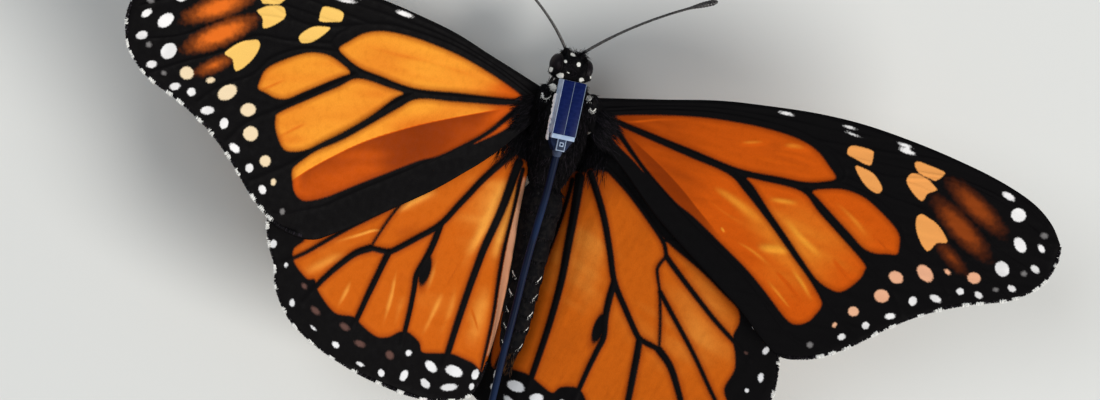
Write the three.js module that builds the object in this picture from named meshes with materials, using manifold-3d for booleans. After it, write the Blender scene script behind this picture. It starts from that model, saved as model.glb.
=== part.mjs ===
// A male monarch butterfly at rest with its wings spread, standing on four legs.
// It wears a small solar-powered radio tag with a long whip antenna.
//
// Millimetres. +Z is up, +Y runs from the head to the tail, +X is the butterfly's left.
// Lengths are first laid out from the point midway between the forewing hinges,
// and the finished group is then moved so that its box stands centred on Z = 0.

import * as THREE from 'three';
import { mergeVertices } from 'three/addons/utils/BufferGeometryUtils.js';
import Module from 'manifold-3d';

const wasm = await Module();
wasm.setup();

// ---- driving dimensions ------------------------------------------------------------

const HINGE_HEIGHT = 10.0;        // forewing hinges above the floor
const FLOOR = -HINGE_HEIGHT;
const GAP = 0.3;                  // clearance between neighbouring pieces
const WING_THICKNESS = 0.5;
const BODY_AXIS_Z = -1.6;         // the body hangs a little below the hinges

const THORAX = { front: -2.2, back: 9.2, flatten: 0.86 };
const ABDOMEN = { front: 9.5, back: 28.6, segments: 7, groove: 0.09, rise: 0.8, lean: 0.25 };
const HEAD = { y: -3.85, z: -1.55, halfSize: [1.75, 1.4, 1.5] };
const EYE = { x: 1.62, y: -3.75, z: -1.4, halfSize: [0.78, 1.13, 1.26] };

// How each wing is held. Angles in degrees: lift raises the tip, nose raises the front
// edge and sweep swings the tip towards the head. The trough is how far the hindwing's
// inner edge folds down: the right one passes under the abdomen, and the left one, with
// a negative trough, curls up beside it. The tuck draws the inner part of a forewing's
// trailing edge forwards by its depth, and fades between two distances from the hinge.
const WINGS = {
  forewing_l: {
    hinge: [4.16, 0, 0], lift: 19.9, nose: -0.9, sweep: 0.8,
    tuck: { depth: -1.05, from: 22, to: 26.5 },
  },
  forewing_r: {
    hinge: [-4.16, 0, 0], lift: 19.3, nose: -1.3, sweep: -4.8,
    tuck: { depth: 1.15, from: 18.5, to: 26 },
  },
  hindwing_l: { hinge: [3.05, 4.5, -2], lift: 17.6, nose: -3.7, sweep: 8.7, trough: -0.5 },
  hindwing_r: { hinge: [-3.55, 4.5, -2], lift: 17.0, nose: -2.7, sweep: -8.7, trough: 3.2 },
};

// Wing outlines as [out from the hinge, towards the head].
const FORE_LEADING = [
  [-1.5, 0.9], [5.7, 2.9], [11.3, 4.5], [16.5, 5.5], [22, 6.3], [27, 6.6],
  [32.4, 6.4], [37.5, 5.9], [42.5, 5.1], [46.6, 3.9], [49.2, 2.3], [50.8, 0.4],
];
const FORE_TRAILING = [
  [-1.5, -2.2], [1.4, -4.6], [5.6, -8.1], [8.9, -10.6], [14.5, -14], [20.4, -17.4],
  [25.2, -19.6], [28.5, -18.9], [32.3, -16.4], [35.5, -13.4], [39, -10.7], [43, -8.5],
  [47.2, -6.7], [49.9, -4.3], [50.9, -1.6],
];
const HIND_OUTER = [
  [4.5, 3.3], [10.5, 2.1], [16, -0.8], [21, -5], [25, -9.5], [27.3, -13.5],
  [28.1, -17.5], [27.2, -20.2], [25.6, -22.4], [24.6, -24.6], [22.4, -26.8],
  [19.5, -28.2], [15.5, -29.3], [10, -30.1],
];
const HIND_INNER = [
  [1.6, 3.3], [-0.4, 1], [-0.9, -4.7], [-1.9, -10], [-2.4, -14.5], [-2.8, -20],
  [-2.9, -23.5], [-2.6, -26.6], [-1.2, -28.6], [3.4, -30.1],
];
const FORE_SAG = 0.89;            // camber: drop at SAG_SPAN out from the hinge
const HIND_SAG = 0.6;
const SAG_SPAN = 25;
const TROUGH = { start: 4.6, width: 7 };

const ANTENNA = {
  base: [0.75, -5.2, -2.05],
  length: 15.9,
  outward: [39, 67],              // heading away from straight ahead, base to tip
  rise: [22.6, 3.7],
  radius: 0.25,
  clubRadius: 0.42,
};

// Legs as joints from the hip to the toe. The last two stand on the floor.
const MID_LEG = {
  coxa: [[1.1, 2.4, -3.6], [1.6, 2.6, -5.3]],
  knee: [6.3, 2.3, -4.1],
  ankle: [8.4, 1.9],
  toe: [10.9, -0.7],
};
const HIND_LEG = {
  coxa: [[1.1, 5.4, -3.4], [1.5, 5.9, -5.2]],
  knee: [5.6, 9.6, -4.0],
  ankle: [7.3, 14.6],
  toe: [8.7, 19.0],
};
const LEG_RADIUS = { coxa: 0.55, hip: 0.45, knee: 0.34, ankle: 0.27, toe: 0.25 };

const TAG = {
  x: 0.75,                        // it sits a little to the left of the middle line
  front: -2.3,
  length: 5.8,
  width: 2.65,
  bottom: 1.5,
  height: 1.25,
  panel: 0.25,
};
const WHIP_RADIUS = 0.37;
const WHIP_PATH = [
  [0.66, 5.95, 1.8], [0.8, 10, 1.7], [1.2, 16.5, 1.45], [1.35, 23, 1.2],
  [1.55, 29, 1.05], [1.65, 36.5, 0.9],
];

// ---- materials ---------------------------------------------------------------------

const finish = (color, roughness, metalness = 0) =>
  new THREE.MeshStandardMaterial({ color, roughness, metalness });

const MATERIALS = {
  foreMembrane: finish('#d9761c', 0.65),
  hindMembrane: finish('#e07f22', 0.65),
  fur: finish('#15120f', 0.95),
  cuticle: finish('#1a1613', 0.55),
  eye: finish('#0c0b0d', 0.18),
  shell: finish('#c9cdd2', 0.4),
  panel: finish('#16245c', 0.15),
  wire: finish('#1b2333', 0.4, 0.2),
};

// ---- solid tools -------------------------------------------------------------------

const vector = ([x, y, z]) => new THREE.Vector3(x, y, z);
const mix = THREE.MathUtils.lerp;
const radians = THREE.MathUtils.degToRad;
const smooth = THREE.MathUtils.smoothstep;

function signedVolume(geometry) {
  const place = geometry.attributes.position;
  const index = geometry.index;
  const corner = [new THREE.Vector3(), new THREE.Vector3(), new THREE.Vector3()];
  let sum = 0;
  for (let i = 0; i < index.count; i += 3) {
    corner.forEach((point, k) => point.fromBufferAttribute(place, index.getX(i + k)));
    sum += corner[0].dot(corner[1].cross(corner[2]));
  }
  return sum / 6;
}

function facingOut(geometry) {
  if (signedVolume(geometry) > 0) return geometry;
  const order = Array.from(geometry.index.array);
  for (let i = 0; i < order.length; i += 3) {
    [order[i], order[i + 1]] = [order[i + 1], order[i]];
  }
  geometry.setIndex(order);
  return geometry;
}

// A closed skin over rings of an equal, even number of points, with flat ends.
function loft(rings) {
  const sides = rings[0].length;
  const index = [];
  for (let i = 0; i + 1 < rings.length; i += 1) {
    for (let j = 0; j < sides; j += 1) {
      const a = i * sides + j;
      const b = i * sides + ((j + 1) % sides);
      index.push(a, b, b + sides, a, b + sides, a + sides);
    }
  }
  const last = (rings.length - 1) * sides;
  for (let j = 0; j + 1 < sides / 2; j += 1) {
    const [a, b, c, d] = [j, j + 1, sides - 2 - j, sides - 1 - j];
    if (b !== c) index.push(a, c, b);
    if (b !== c || a !== d) index.push(a, d, c);
    if (b !== c) index.push(last + a, last + b, last + c);
    index.push(last + a, last + c, last + d);
  }
  const geometry = new THREE.BufferGeometry().setFromPoints(rings.flat());
  geometry.setIndex(index);
  return facingOut(geometry);
}

// A round bar along a path, with a radius for each share of its length.
// The sides are laid out from `upright`, so a level bar has a flat underside.
function bar(path, radiusAt, { sides = 8, steps = 1, upright = [0, 0, 1] } = {}) {
  const rings = [];
  for (let i = 0; i <= steps; i += 1) {
    const share = i / steps;
    const centre = path.getPoint(share);
    const along = path.getTangent(share);
    const across = vector(upright).cross(along).normalize();
    const over = along.clone().cross(across);
    const ring = [];
    for (let j = 0; j < sides; j += 1) {
      const turn = ((j + 0.5) / sides) * 2 * Math.PI;
      const reach = radiusAt(share);
      ring.push(centre.clone()
        .addScaledVector(across, reach * Math.cos(turn))
        .addScaledVector(over, reach * Math.sin(turn)));
    }
    rings.push(ring);
  }
  return loft(rings);
}

function toSolid(geometry) {
  const bare = geometry.clone();
  bare.deleteAttribute('normal');
  bare.deleteAttribute('uv');
  const merged = mergeVertices(bare, 1e-5);
  return new wasm.Manifold(new wasm.Mesh({
    numProp: 3,
    vertProperties: new Float32Array(merged.attributes.position.array),
    triVerts: new Uint32Array(merged.index.array),
  }));
}

function toGeometry(solid) {
  const mesh = solid.getMesh();
  const geometry = new THREE.BufferGeometry();
  geometry.setAttribute('position', new THREE.BufferAttribute(mesh.vertProperties, 3));
  geometry.setIndex(new THREE.BufferAttribute(mesh.triVerts, 1));
  return geometry;
}

const join = (...pieces) =>
  toGeometry(pieces.map(toSolid).reduce((whole, piece) => whole.add(piece)));

const cut = (piece, ...tools) =>
  toGeometry(tools.map(toSolid).reduce((rest, tool) => rest.subtract(tool), toSolid(piece)));

// ---- body --------------------------------------------------------------------------

function ellipsoid([rx, ry, rz], [x, y, z], margin = 0, segments = 20) {
  const geometry = new THREE.SphereGeometry(1, segments, segments / 2);
  geometry.scale(rx + margin, ry + margin, rz + margin);
  return geometry.translate(x, y, z);
}

// A body of revolution along +Y from [distance, radius] pairs, closed on its axis.
function turned(profile, sides, margin = 0) {
  const points = profile.map(([y, radius]) => new THREE.Vector2(radius + margin, y));
  points.unshift(new THREE.Vector2(0, profile[0][0] - margin));
  points.push(new THREE.Vector2(0, profile.at(-1)[0] + margin));
  return new THREE.LatheGeometry(points, sides);
}

function thoraxTrunk(margin = 0) {
  const { front, back, flatten } = THORAX;
  const length = back - front;
  const profile = [
    [0, 0.9], [0.04, 1.6], [0.11, 2.35], [0.2, 2.95], [0.32, 3.4], [0.46, 3.5],
    [0.62, 3.35], [0.78, 2.95], [0.91, 2.4], [1, 1.9],
  ].map(([share, radius]) => [front + share * length, radius]);
  const trunk = turned(profile, 24, margin);
  return trunk.scale(1, 1, flatten).translate(0, 0, BODY_AXIS_Z);
}

function thorax() {
  const hips = [];
  for (const { coxa } of [MID_LEG, HIND_LEG]) {
    for (const side of [1, -1]) {
      const [top, end] = coxa.map(([x, y, z]) => new THREE.Vector3(side * x, y, z));
      hips.push(bar(new THREE.LineCurve3(top, end), () => LEG_RADIUS.coxa,
        { upright: [0, 1, 0] }));
    }
  }
  return join(thoraxTrunk(), ...hips);
}

function abdomenTrunk(margin = 0) {
  const { front, back, segments, groove } = ABDOMEN;
  const outline = new THREE.SplineCurve([
    [0, 1.95], [0.07, 2.3], [0.17, 2.2], [0.34, 1.95], [0.55, 1.8], [0.76, 1.58],
    [0.87, 1.3], [0.95, 0.85], [1, 0.4],
  ].map(([share, radius]) => new THREE.Vector2(share, radius)));
  const steps = segments * 4;
  const profile = outline.getPoints(steps).map(({ x, y }) => {
    const ridge = Math.abs(Math.sin(x * segments * Math.PI));
    return [mix(front, back, x), y - groove * (1 - ridge) * smooth(y, 0.6, 1.4)];
  });
  const trunk = turned(profile, 18, margin).translate(0, 0, BODY_AXIS_Z);
  const place = trunk.attributes.position;
  for (let i = 0; i < place.count; i += 1) {
    const share = (place.getY(i) - front) / (back - front);
    place.setX(i, place.getX(i) + ABDOMEN.lean * share);
    place.setZ(i, place.getZ(i) + ABDOMEN.rise * share);
  }
  return trunk;
}

function abdomen() {
  const tipZ = BODY_AXIS_Z + ABDOMEN.rise;
  const claspers = [1, -1].map((side) => bar(
    new THREE.LineCurve3(
      new THREE.Vector3(ABDOMEN.lean + side * 0.35, ABDOMEN.back - 1.0, tipZ),
      new THREE.Vector3(ABDOMEN.lean + side * 0.42, ABDOMEN.back + 0.5, tipZ - 0.1),
    ),
    (share) => mix(0.42, 0.26, share),
  ));
  return join(abdomenTrunk(), ...claspers);
}

const headShell = (margin = 0) => ellipsoid(HEAD.halfSize, [0, HEAD.y, HEAD.z], margin);

const eyeBall = (side, margin = 0) =>
  ellipsoid(EYE.halfSize, [side * EYE.x, EYE.y, EYE.z], margin, 16);

function palp(side) {
  const path = new THREE.LineCurve3(
    new THREE.Vector3(side * 0.42, -4.7, -2.9),
    new THREE.Vector3(side * 0.46, -5.5, -2.66),
  );
  return cut(bar(path, (share) => mix(0.32, 0.25, share)), headShell(GAP));
}

function proboscis() {
  const ring = new THREE.TorusGeometry(0.6, 0.27, 8, 20);
  return mergeVertices(ring.rotateY(Math.PI / 2).translate(0, -4.4, -4.25));
}

function antenna(side) {
  const steps = 16;
  const { base, length, outward, rise, radius, clubRadius } = ANTENNA;
  const points = [vector(base)];
  for (let i = 0; i < steps; i += 1) {
    const share = i / (steps - 1);
    const heading = radians(mix(outward[0], outward[1], share ** 0.7));
    const climb = radians(mix(rise[0], rise[1], share));
    points.push(points.at(-1).clone().add(new THREE.Vector3(
      Math.sin(heading) * Math.cos(climb),
      -Math.cos(heading) * Math.cos(climb),
      Math.sin(climb),
    ).multiplyScalar(length / steps)));
  }
  points.forEach((point) => point.setX(side * point.x));
  const swell = (share) => mix(radius, clubRadius, smooth(share, 0.83, 0.92));
  const taper = (share) => (share > 0.97 ? 0.75 : 1);
  const path = new THREE.CatmullRomCurve3(points);
  return cut(bar(path, (share) => swell(share) * taper(share), { steps: 22, sides: 6 }),
    headShell(GAP));
}

// ---- legs --------------------------------------------------------------------------

// Stops a leg's piece short of the joints at its ends.
function between(start, end, startGap, endGap) {
  const along = end.clone().sub(start).normalize();
  return new THREE.LineCurve3(
    start.clone().addScaledVector(along, startGap),
    end.clone().addScaledVector(along, -endGap),
  );
}

function foreleg(side) {
  const path = new THREE.CatmullRomCurve3([
    new THREE.Vector3(side * 0.75, 0.9, -4.6),
    new THREE.Vector3(side * 0.95, -1.0, -4.55),
    new THREE.Vector3(side * 0.85, -2.4, -3.9),
  ]);
  return cut(bar(path, () => 0.27, { sides: 6, steps: 5 }), thoraxTrunk(GAP), headShell(GAP));
}

function leg(name, { coxa, knee, ankle, toe }, side) {
  const mirrored = ([x, y, z]) => new THREE.Vector3(side * x, y, z);
  const flat = Math.cos(Math.PI / 8);            // an eight-sided bar's half height
  const hip = mirrored(coxa[1]);
  const kneePoint = mirrored(knee);
  const heelPoint = mirrored([...ankle, FLOOR + LEG_RADIUS.ankle * flat]);
  const toePoint = mirrored([...toe, FLOOR + LEG_RADIUS.toe * flat]);
  const lowered = heelPoint.clone().setZ(heelPoint.z + LEG_RADIUS.ankle + GAP);
  const taper = (from, to) => (share) => mix(LEG_RADIUS[from], LEG_RADIUS[to], share);
  const hipGap = LEG_RADIUS.coxa + GAP;
  const upright = { upright: [0, 1, 0] };
  return {
    [`${name}_femur`]: bar(between(hip, kneePoint, hipGap, 0), taper('hip', 'knee')),
    [`${name}_tibia`]: bar(between(kneePoint, lowered, LEG_RADIUS.knee + GAP, 0),
      taper('knee', 'ankle'), upright),
    [`${name}_tarsus`]: bar(new THREE.LineCurve3(heelPoint, toePoint), taper('ankle', 'toe')),
  };
}

// ---- wings -------------------------------------------------------------------------

// Reads a spline outline that runs one way along an axis, at a value on that axis.
function ruler(points, axis) {
  const curve = new THREE.SplineCurve(points.map(([x, y]) => new THREE.Vector2(x, y)));
  const line = curve.getPoints(points.length * 12);
  const rising = line.at(-1)[axis] > line[0][axis];
  return (value) => {
    const passed = (point) => (rising ? point[axis] >= value : point[axis] <= value);
    const next = Math.max(1, line.findIndex(passed));
    const [a, b] = [line[next - 1], line[next]];
    const share = THREE.MathUtils.clamp((value - a[axis]) / (b[axis] - a[axis]), 0, 1);
    return a.clone().lerp(b, share);
  };
}

const WING_KINDS = {
  fore: {
    edges: [ruler(FORE_LEADING, 'x'), ruler(FORE_TRAILING, 'x')],
    span: [-1.5, 50.75],
    material: MATERIALS.foreMembrane,
    height: (x) => -FORE_SAG * (x / SAG_SPAN) ** 2,
  },
  hind: {
    edges: [ruler(HIND_INNER, 'y'), ruler(HIND_OUTER, 'y')],
    span: [3.25, -30.05],
    material: MATERIALS.hindMembrane,
    height: (x, trough) => {
      const inward = THREE.MathUtils.clamp((TROUGH.start - x) / TROUGH.width, 0, 1);
      return -HIND_SAG * (x / SAG_SPAN) ** 2 - trough * inward ** 1.6;
    },
  },
};

const NO_TUCK = { depth: 0, from: 0, to: 1 };

// How far a wing's trailing edge is drawn forwards, at a distance out from the hinge.
function tuckDepth({ depth, from, to }, x) {
  const { smoothstep } = THREE.MathUtils;
  return depth * smoothstep(x, -3, 5) * (1 - smoothstep(x, from, to));
}

function wingBlade({ edges, span, height }, side, { trough, tuck = NO_TUCK }) {
  const stations = 26;
  const chords = 9;
  const rings = [];
  for (let i = 0; i <= stations; i += 1) {
    const value = mix(span[0], span[1], i / stations);
    const [from, to] = edges.map((edge) => edge(value));
    const upper = [];
    const lower = [];
    for (let j = 0; j <= chords; j += 1) {
      const { x, y } = from.clone().lerp(to, j / chords);
      const z = height(x, trough);
      const behind = -y - tuckDepth(tuck, x) * (j / chords) ** 2;
      upper.push(new THREE.Vector3(side * x, behind, z + WING_THICKNESS / 2));
      lower.unshift(new THREE.Vector3(side * x, behind, z - WING_THICKNESS / 2));
    }
    rings.push([...upper, ...lower]);
  }
  return loft(rings);
}

function wing(shape, wingPose) {
  const { hinge, lift, nose, sweep } = wingPose;
  const side = Math.sign(hinge[0]);
  const pose = new THREE.Object3D();
  pose.position.copy(vector(hinge));
  pose.rotation.set(radians(-nose), radians(-side * lift), radians(-side * sweep), 'YXZ');
  pose.updateMatrix();
  const blade = wingBlade(shape, side, wingPose).applyMatrix4(pose.matrix);
  return cut(blade, thoraxTrunk(GAP), abdomenTrunk(GAP));
}

// ---- radio tag ---------------------------------------------------------------------

function block([width, length, height], [x, y, z]) {
  return new THREE.BoxGeometry(width, length, height).translate(x, y, z);
}

function tagPieces() {
  const { x, front, length, width, bottom, height, panel } = TAG;
  const seam = 0.2;
  const top = bottom + height;
  const back = front + length;
  const cap = { front: back + seam, shoulder: back + 0.6, back: back + 1.6, high: top + 0.1 };
  const capOutline = [
    [-width / 2, cap.front], [width / 2, cap.front], [width / 2, cap.shoulder],
    [0.62, cap.back], [-0.62, cap.back], [-width / 2, cap.shoulder],
  ];
  const capRing = (z) => capOutline.map(([across, y]) => new THREE.Vector3(x + across, y, z));
  const pad = block([0.9, 0.9, 0.5], [x, cap.shoulder + 0.4, cap.high - 0.05]);
  const plug = new THREE.CylinderGeometry(0.5, 0.62, 0.4, 8).rotateY(Math.PI / 8);
  return {
    tag_body: block([width, length, height], [x, front + length / 2, bottom + height / 2]),
    tag_panel: block([width - 0.25, length - 0.3, panel],
      [x, front + length / 2, top + seam + panel / 2]),
    tag_cap: join(facingOut(loft([capRing(bottom), capRing(cap.high)])), pad),
    tag_plug: plug.translate(x - 0.05, cap.back + seam + 0.2, 1.9),
  };
}

function whip() {
  const path = new THREE.CatmullRomCurve3(WHIP_PATH.map(vector));
  return bar(path, () => WHIP_RADIUS, { steps: 20 });
}

// ---- assembly ----------------------------------------------------------------------

const butterfly = new THREE.Group();

function add(name, geometry, material) {
  const mesh = new THREE.Mesh(geometry, material);
  mesh.name = name;
  butterfly.add(mesh);
}

add('head', cut(headShell(), eyeBall(1, GAP), eyeBall(-1, GAP)), MATERIALS.fur);
add('thorax', thorax(), MATERIALS.fur);
add('abdomen', abdomen(), MATERIALS.fur);
add('proboscis', proboscis(), MATERIALS.cuticle);

for (const [letter, side] of [['l', 1], ['r', -1]]) {
  add(`eye_${letter}`, eyeBall(side), MATERIALS.eye);
  add(`palp_${letter}`, palp(side), MATERIALS.fur);
  add(`antenna_${letter}`, antenna(side), MATERIALS.cuticle);
  add(`foreleg_${letter}`, foreleg(side), MATERIALS.cuticle);
  const walking = {
    ...leg(`midleg_${letter}`, MID_LEG, side),
    ...leg(`hindleg_${letter}`, HIND_LEG, side),
  };
  for (const [name, geometry] of Object.entries(walking)) {
    add(name, geometry, MATERIALS.cuticle);
  }
}

for (const [name, pose] of Object.entries(WINGS)) {
  const shape = WING_KINDS[name.startsWith('fore') ? 'fore' : 'hind'];
  add(name, wing(shape, pose), shape.material);
}

for (const [name, geometry] of Object.entries(tagPieces())) {
  add(name, geometry, name === 'tag_panel' ? MATERIALS.panel : MATERIALS.shell);
}
add('tag_antenna', whip(), MATERIALS.wire);

const box = new THREE.Box3().setFromObject(butterfly, true);
const centre = box.getCenter(new THREE.Vector3());
butterfly.position.set(-centre.x, -centre.y, HINGE_HEIGHT);

export default butterfly;
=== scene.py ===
# A male monarch butterfly at rest with its wings spread, wearing a small radio tag.
#
# Shapes are laid out in millimetres from the point midway between the forewing hinges:
# +X is the butterfly's left, +Y runs towards the tail and +Z is up. The pattern of a wing
# is laid out on the wing itself as (out from the hinge, towards the head).

import math
from itertools import product

import bmesh
import bpy
import numpy as np
from mathutils import Matrix, Vector


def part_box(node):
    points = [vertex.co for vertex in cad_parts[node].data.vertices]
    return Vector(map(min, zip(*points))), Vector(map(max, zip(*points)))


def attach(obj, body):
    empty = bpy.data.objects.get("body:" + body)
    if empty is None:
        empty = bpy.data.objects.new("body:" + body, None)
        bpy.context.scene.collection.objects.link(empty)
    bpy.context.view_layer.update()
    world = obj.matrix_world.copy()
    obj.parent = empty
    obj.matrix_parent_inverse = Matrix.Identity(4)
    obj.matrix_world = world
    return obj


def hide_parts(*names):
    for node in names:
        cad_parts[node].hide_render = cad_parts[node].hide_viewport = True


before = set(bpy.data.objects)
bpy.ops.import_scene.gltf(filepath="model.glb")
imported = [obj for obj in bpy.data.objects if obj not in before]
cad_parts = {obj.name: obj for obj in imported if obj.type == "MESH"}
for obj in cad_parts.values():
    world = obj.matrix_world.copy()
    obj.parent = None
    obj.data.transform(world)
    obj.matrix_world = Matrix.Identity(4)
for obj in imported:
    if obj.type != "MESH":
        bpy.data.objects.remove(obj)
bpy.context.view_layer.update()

# ---- driving values ----------------------------------------------------------------

MM = 0.001
HINGE_HEIGHT = 10.0
THORAX_FRONT = -2.2
thorax_low, thorax_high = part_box("thorax")
ORIGIN = np.array([
    (thorax_low.x + thorax_high.x) / 2,
    thorax_low.y - THORAX_FRONT * MM,
    HINGE_HEIGHT * MM,
])
BODY_AXIS_Z = -1.6

# The wings. Lift, nose and sweep are in degrees; see place_on_wing. Wrinkle, lightness,
# shine and crease are strengths: of the wrinkles; of the painted light over the whole
# wing, which is painted shade where it is negative; of the painted highlights along its
# streaks; and of the dip along the line that bounds a forewing's hind part, with painted
# shade behind that line and a painted highlight just before it. A tuck draws the
# inner trailing edge forwards: by how much, and between which places out along the wing
# it fades. A trough folds a hindwing's inner part down, and a fold draws it outwards.
# Worn marks are smaller by that much, and a plain margin has no pale strip. Streaks are
# ridges (or hollows, where the last number is negative) with a painted highlight along
# the ridges and painted shade along the hollows: the points they run through, then their
# half width and strength. Washes are soft places of painted light, and of painted shade
# where the strength is negative: centre, reach and strength.
WINGS = {
    "forewing_l": dict(
        kind="fore", hinge=(4.16, 0, 0), lift=19.9, nose=-0.9, sweep=0.8, wrinkle=0.3,
        painted_lightness=0.8, seed=1, crease=1.0, painted_shine=0.5, tuck=(-1.05, 22, 26.5),
        painted_washes=[(5, -2, 4, -0.5), (13, -7.4, 4.5, -1.1), (14, -3, 3, 0.5), (9, 0, 6, 0.25)],
        crease_line=[(2.5, -1.8), (10, -4.3), (15, -6.2), (20.7, -8.9), (26, -12.5),
                     (28.6, -14.8)],
        streaks=[
            ([(5, 0.1), (12, 0.9), (19, 1), (24, 1.3)], 0.22, -0.35),
            ([(2, -0.5), (9, -0.9), (16, -0.7), (21, -0.2)], 0.4, -0.25),
            ([(11, 1.9), (17, 2.2), (22, 2.2)], 0.5, 0.2),
            ([(27.5, -7.9), (29, -8.9), (31, -10.3)], 0.16, -0.7),
            ([(31.2, -4), (32.6, -4.9), (34.4, -6)], 0.14, -0.7),
            ([(12.5, -3.6), (19, -6.4), (25, -10.6)], 0.9, 0.35),
            ([(18, -9.2), (22, -11.6), (26, -13.8)], 0.9, -0.25),
        ],
    ),
    "forewing_r": dict(
        kind="fore", hinge=(-4.16, 0, 0), lift=19.3, nose=-1.3, sweep=-4.8, wrinkle=0.9,
        painted_lightness=-0.6, seed=2, crease=0.42, painted_shine=0.85, tuck=(1.15, 18.5, 26), worn=0.07,
        painted_washes=[(30, -7, 8, 0.6), (20, -6, 6, 0.6), (15, 2, 6, 0.2), (24, -12, 6, 0.5),
                (7, -2, 4, -0.2)],
        crease_line=[(2.5, -1.5), (7, -3.7), (10, -5.4), (13, -7.4), (15.8, -9.2)],
        streaks=[
            ([(14.2, 0.7), (16, 1.3), (18, 2)], 0.3, 0.9),
            ([(18.6, 1.6), (20.5, 2.3), (22.8, 2.5)], 0.5, 1.0),
            ([(18.3, 0.9), (20.5, 1.2), (24, 1)], 0.2, 0.6),
            ([(15, -0.3), (19, 0.1), (23, 0.5)], 0.16, 0.5),
            ([(1, -0.5), (3, -0.4), (6, 0.8), (10, 2)], 0.13, 0.7),
            ([(12.4, -4.3), (15.4, -5), (20, -6.6)], 0.5, 0.9),
            ([(12, -5), (14.5, -6.4), (18, -7.4)], 0.25, 0.5),
            ([(15.4, -8.2), (16.1, -8.8)], 0.14, 1.2),
            ([(19.6, -9.2), (21.5, -8.9), (23.6, -8.5)], 0.4, 1.0),
            ([(17, -9.2), (19.3, -9.7), (22, -10.8)], 0.18, 0.6),
            ([(22.3, -11), (24, -12), (26.4, -13.7)], 0.13, -0.8),
            ([(23.8, -10.2), (25.5, -11.5), (27.3, -13.2)], 0.18, 0.7),
            ([(21.5, -12), (24, -13.7), (25.5, -14.7)], 0.16, 0.7),
            ([(19.3, -4), (21, -3.7), (22.8, -3.5)], 0.25, 0.7),
            ([(18.5, -3), (20.5, -3), (22.5, -2.8)], 0.3, -0.4),
            ([(21.5, -5.3), (24, -6.9), (27, -8.4)], 0.3, 0.6),
            ([(27.7, -7.9), (29, -8.9), (30.5, -10)], 0.13, -0.8),
            ([(26, -2), (28.5, -3.2), (31, -4.9)], 0.25, 0.5),
            ([(31, -4.2), (32.4, -5), (33.6, -5.7)], 0.13, -0.8),
        ],
    ),
    "hindwing_l": dict(
        kind="hind", hinge=(3.05, 4.5, -2), lift=17.6, nose=-3.7, sweep=8.7, wrinkle=0.5,
        painted_lightness=0.0, seed=3, trough=-0.5, fold=0.6, painted_shine=0.85,
        painted_washes=[(1, -9, 4, 0.5), (0.1, -6.5, 2.6, 0.7)],
        streaks=[
            ([(0.7, -4), (1.1, -8), (2, -12), (3.2, -16)], 0.6, 1.0),
            ([(-0.4, -4.5), (-0.6, -9), (-0.8, -15)], 0.6, 1.1),
            ([(-0.8, -15), (-1.2, -24)], 1.1, 0.7),
            ([(8.6, -8.6), (11.4, -10.7), (14.2, -13.4)], 0.5, 1.0),
            ([(6.3, -15.5), (6.4, -19.5)], 0.35, 0.7),
            ([(4.2, -18.5), (4.6, -21), (5.3, -24.6)], 0.3, 0.7),
            ([(3, -17), (2.6, -20), (3, -24)], 0.4, 0.4),
            ([(11.1, -17.5), (10.7, -21), (10.6, -25.5)], 0.28, 0.9),
            ([(9.2, -20), (9.1, -25)], 0.4, 0.35),
            ([(16.1, -20.6), (16.4, -22.6), (17, -24.8)], 0.28, 0.9),
            ([(13, -14.9), (15, -15.2), (17, -16.4), (20, -18.2)], 0.16, 1.4),
            ([(17, -18), (20, -20.4), (22.4, -22.4)], 0.5, 0.6),
            ([(3, -14), (3.6, -16.5), (4.4, -19)], 0.13, -0.6),
            ([(-1.6, -21.5), (0.4, -19)], 0.12, -0.6),
            ([(9, -12), (11, -14), (13, -15.6)], 0.8, -0.35),
            ([(10, -18), (9.8, -21)], 0.9, -0.3),
        ],
    ),
    "hindwing_r": dict(
        kind="hind", hinge=(-3.55, 4.5, -2), lift=17.0, nose=-2.7, sweep=-8.7, wrinkle=0.4,
        painted_lightness=-0.2, seed=4, trough=3.2, fold=2.6, painted_shine=0.5, plain_margin=True,
        painted_washes=[(2, -10, 5, 0.7), (18, -13, 7, 0.6), (9, -20, 6, 0.2)],
        streaks=[
            ([(13, -7), (17, -9), (21, -11)], 0.9, 0.3),
            ([(14, -10.5), (18, -13.4), (22, -16.6)], 0.9, 0.25),
            ([(8, -5.6), (10, -7), (11, -8.5)], 0.7, 0.25),
            ([(3.6, -6), (4.6, -12), (4.9, -20)], 0.9, 0.2),
            ([(2, -6), (2, -12), (2.3, -20)], 0.5, -0.2),
        ],
    ),
}

FORE_LEADING = [
    (-1.5, 0.9), (5.7, 2.9), (11.3, 4.5), (16.5, 5.5), (22, 6.3), (27, 6.6),
    (32.4, 6.4), (37.5, 5.9), (42.5, 5.1), (46.6, 3.9), (49.2, 2.3), (50.8, 0.4),
]
FORE_TRAILING = [
    (-1.5, -2.2), (1.4, -4.6), (5.6, -8.1), (8.9, -10.6), (14.5, -14), (20.4, -17.4),
    (25.2, -19.6), (28.5, -18.9), (32.3, -16.4), (35.5, -13.4), (39, -10.7), (43, -8.5),
    (47.2, -6.7), (49.9, -4.3), (50.9, -1.6),
]
HIND_OUTER = [
    (4.5, 3.3), (10.5, 2.1), (16, -0.8), (21, -5), (25, -9.5), (27.3, -13.5),
    (28.1, -17.5), (27.2, -20.2), (25.6, -22.4), (24.6, -24.6), (22.4, -26.8),
    (19.5, -28.2), (15.5, -29.3), (10, -30.1),
]
HIND_INNER = [
    (1.6, 3.3), (-0.5, 1), (-1.1, -2), (-1.45, -5), (-1.8, -8), (-2.5, -12), (-3, -16),
    (-3.3, -20), (-3.35, -24), (-3, -26.6), (-1.6, -28.6), (3.4, -30.1),
]

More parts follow.
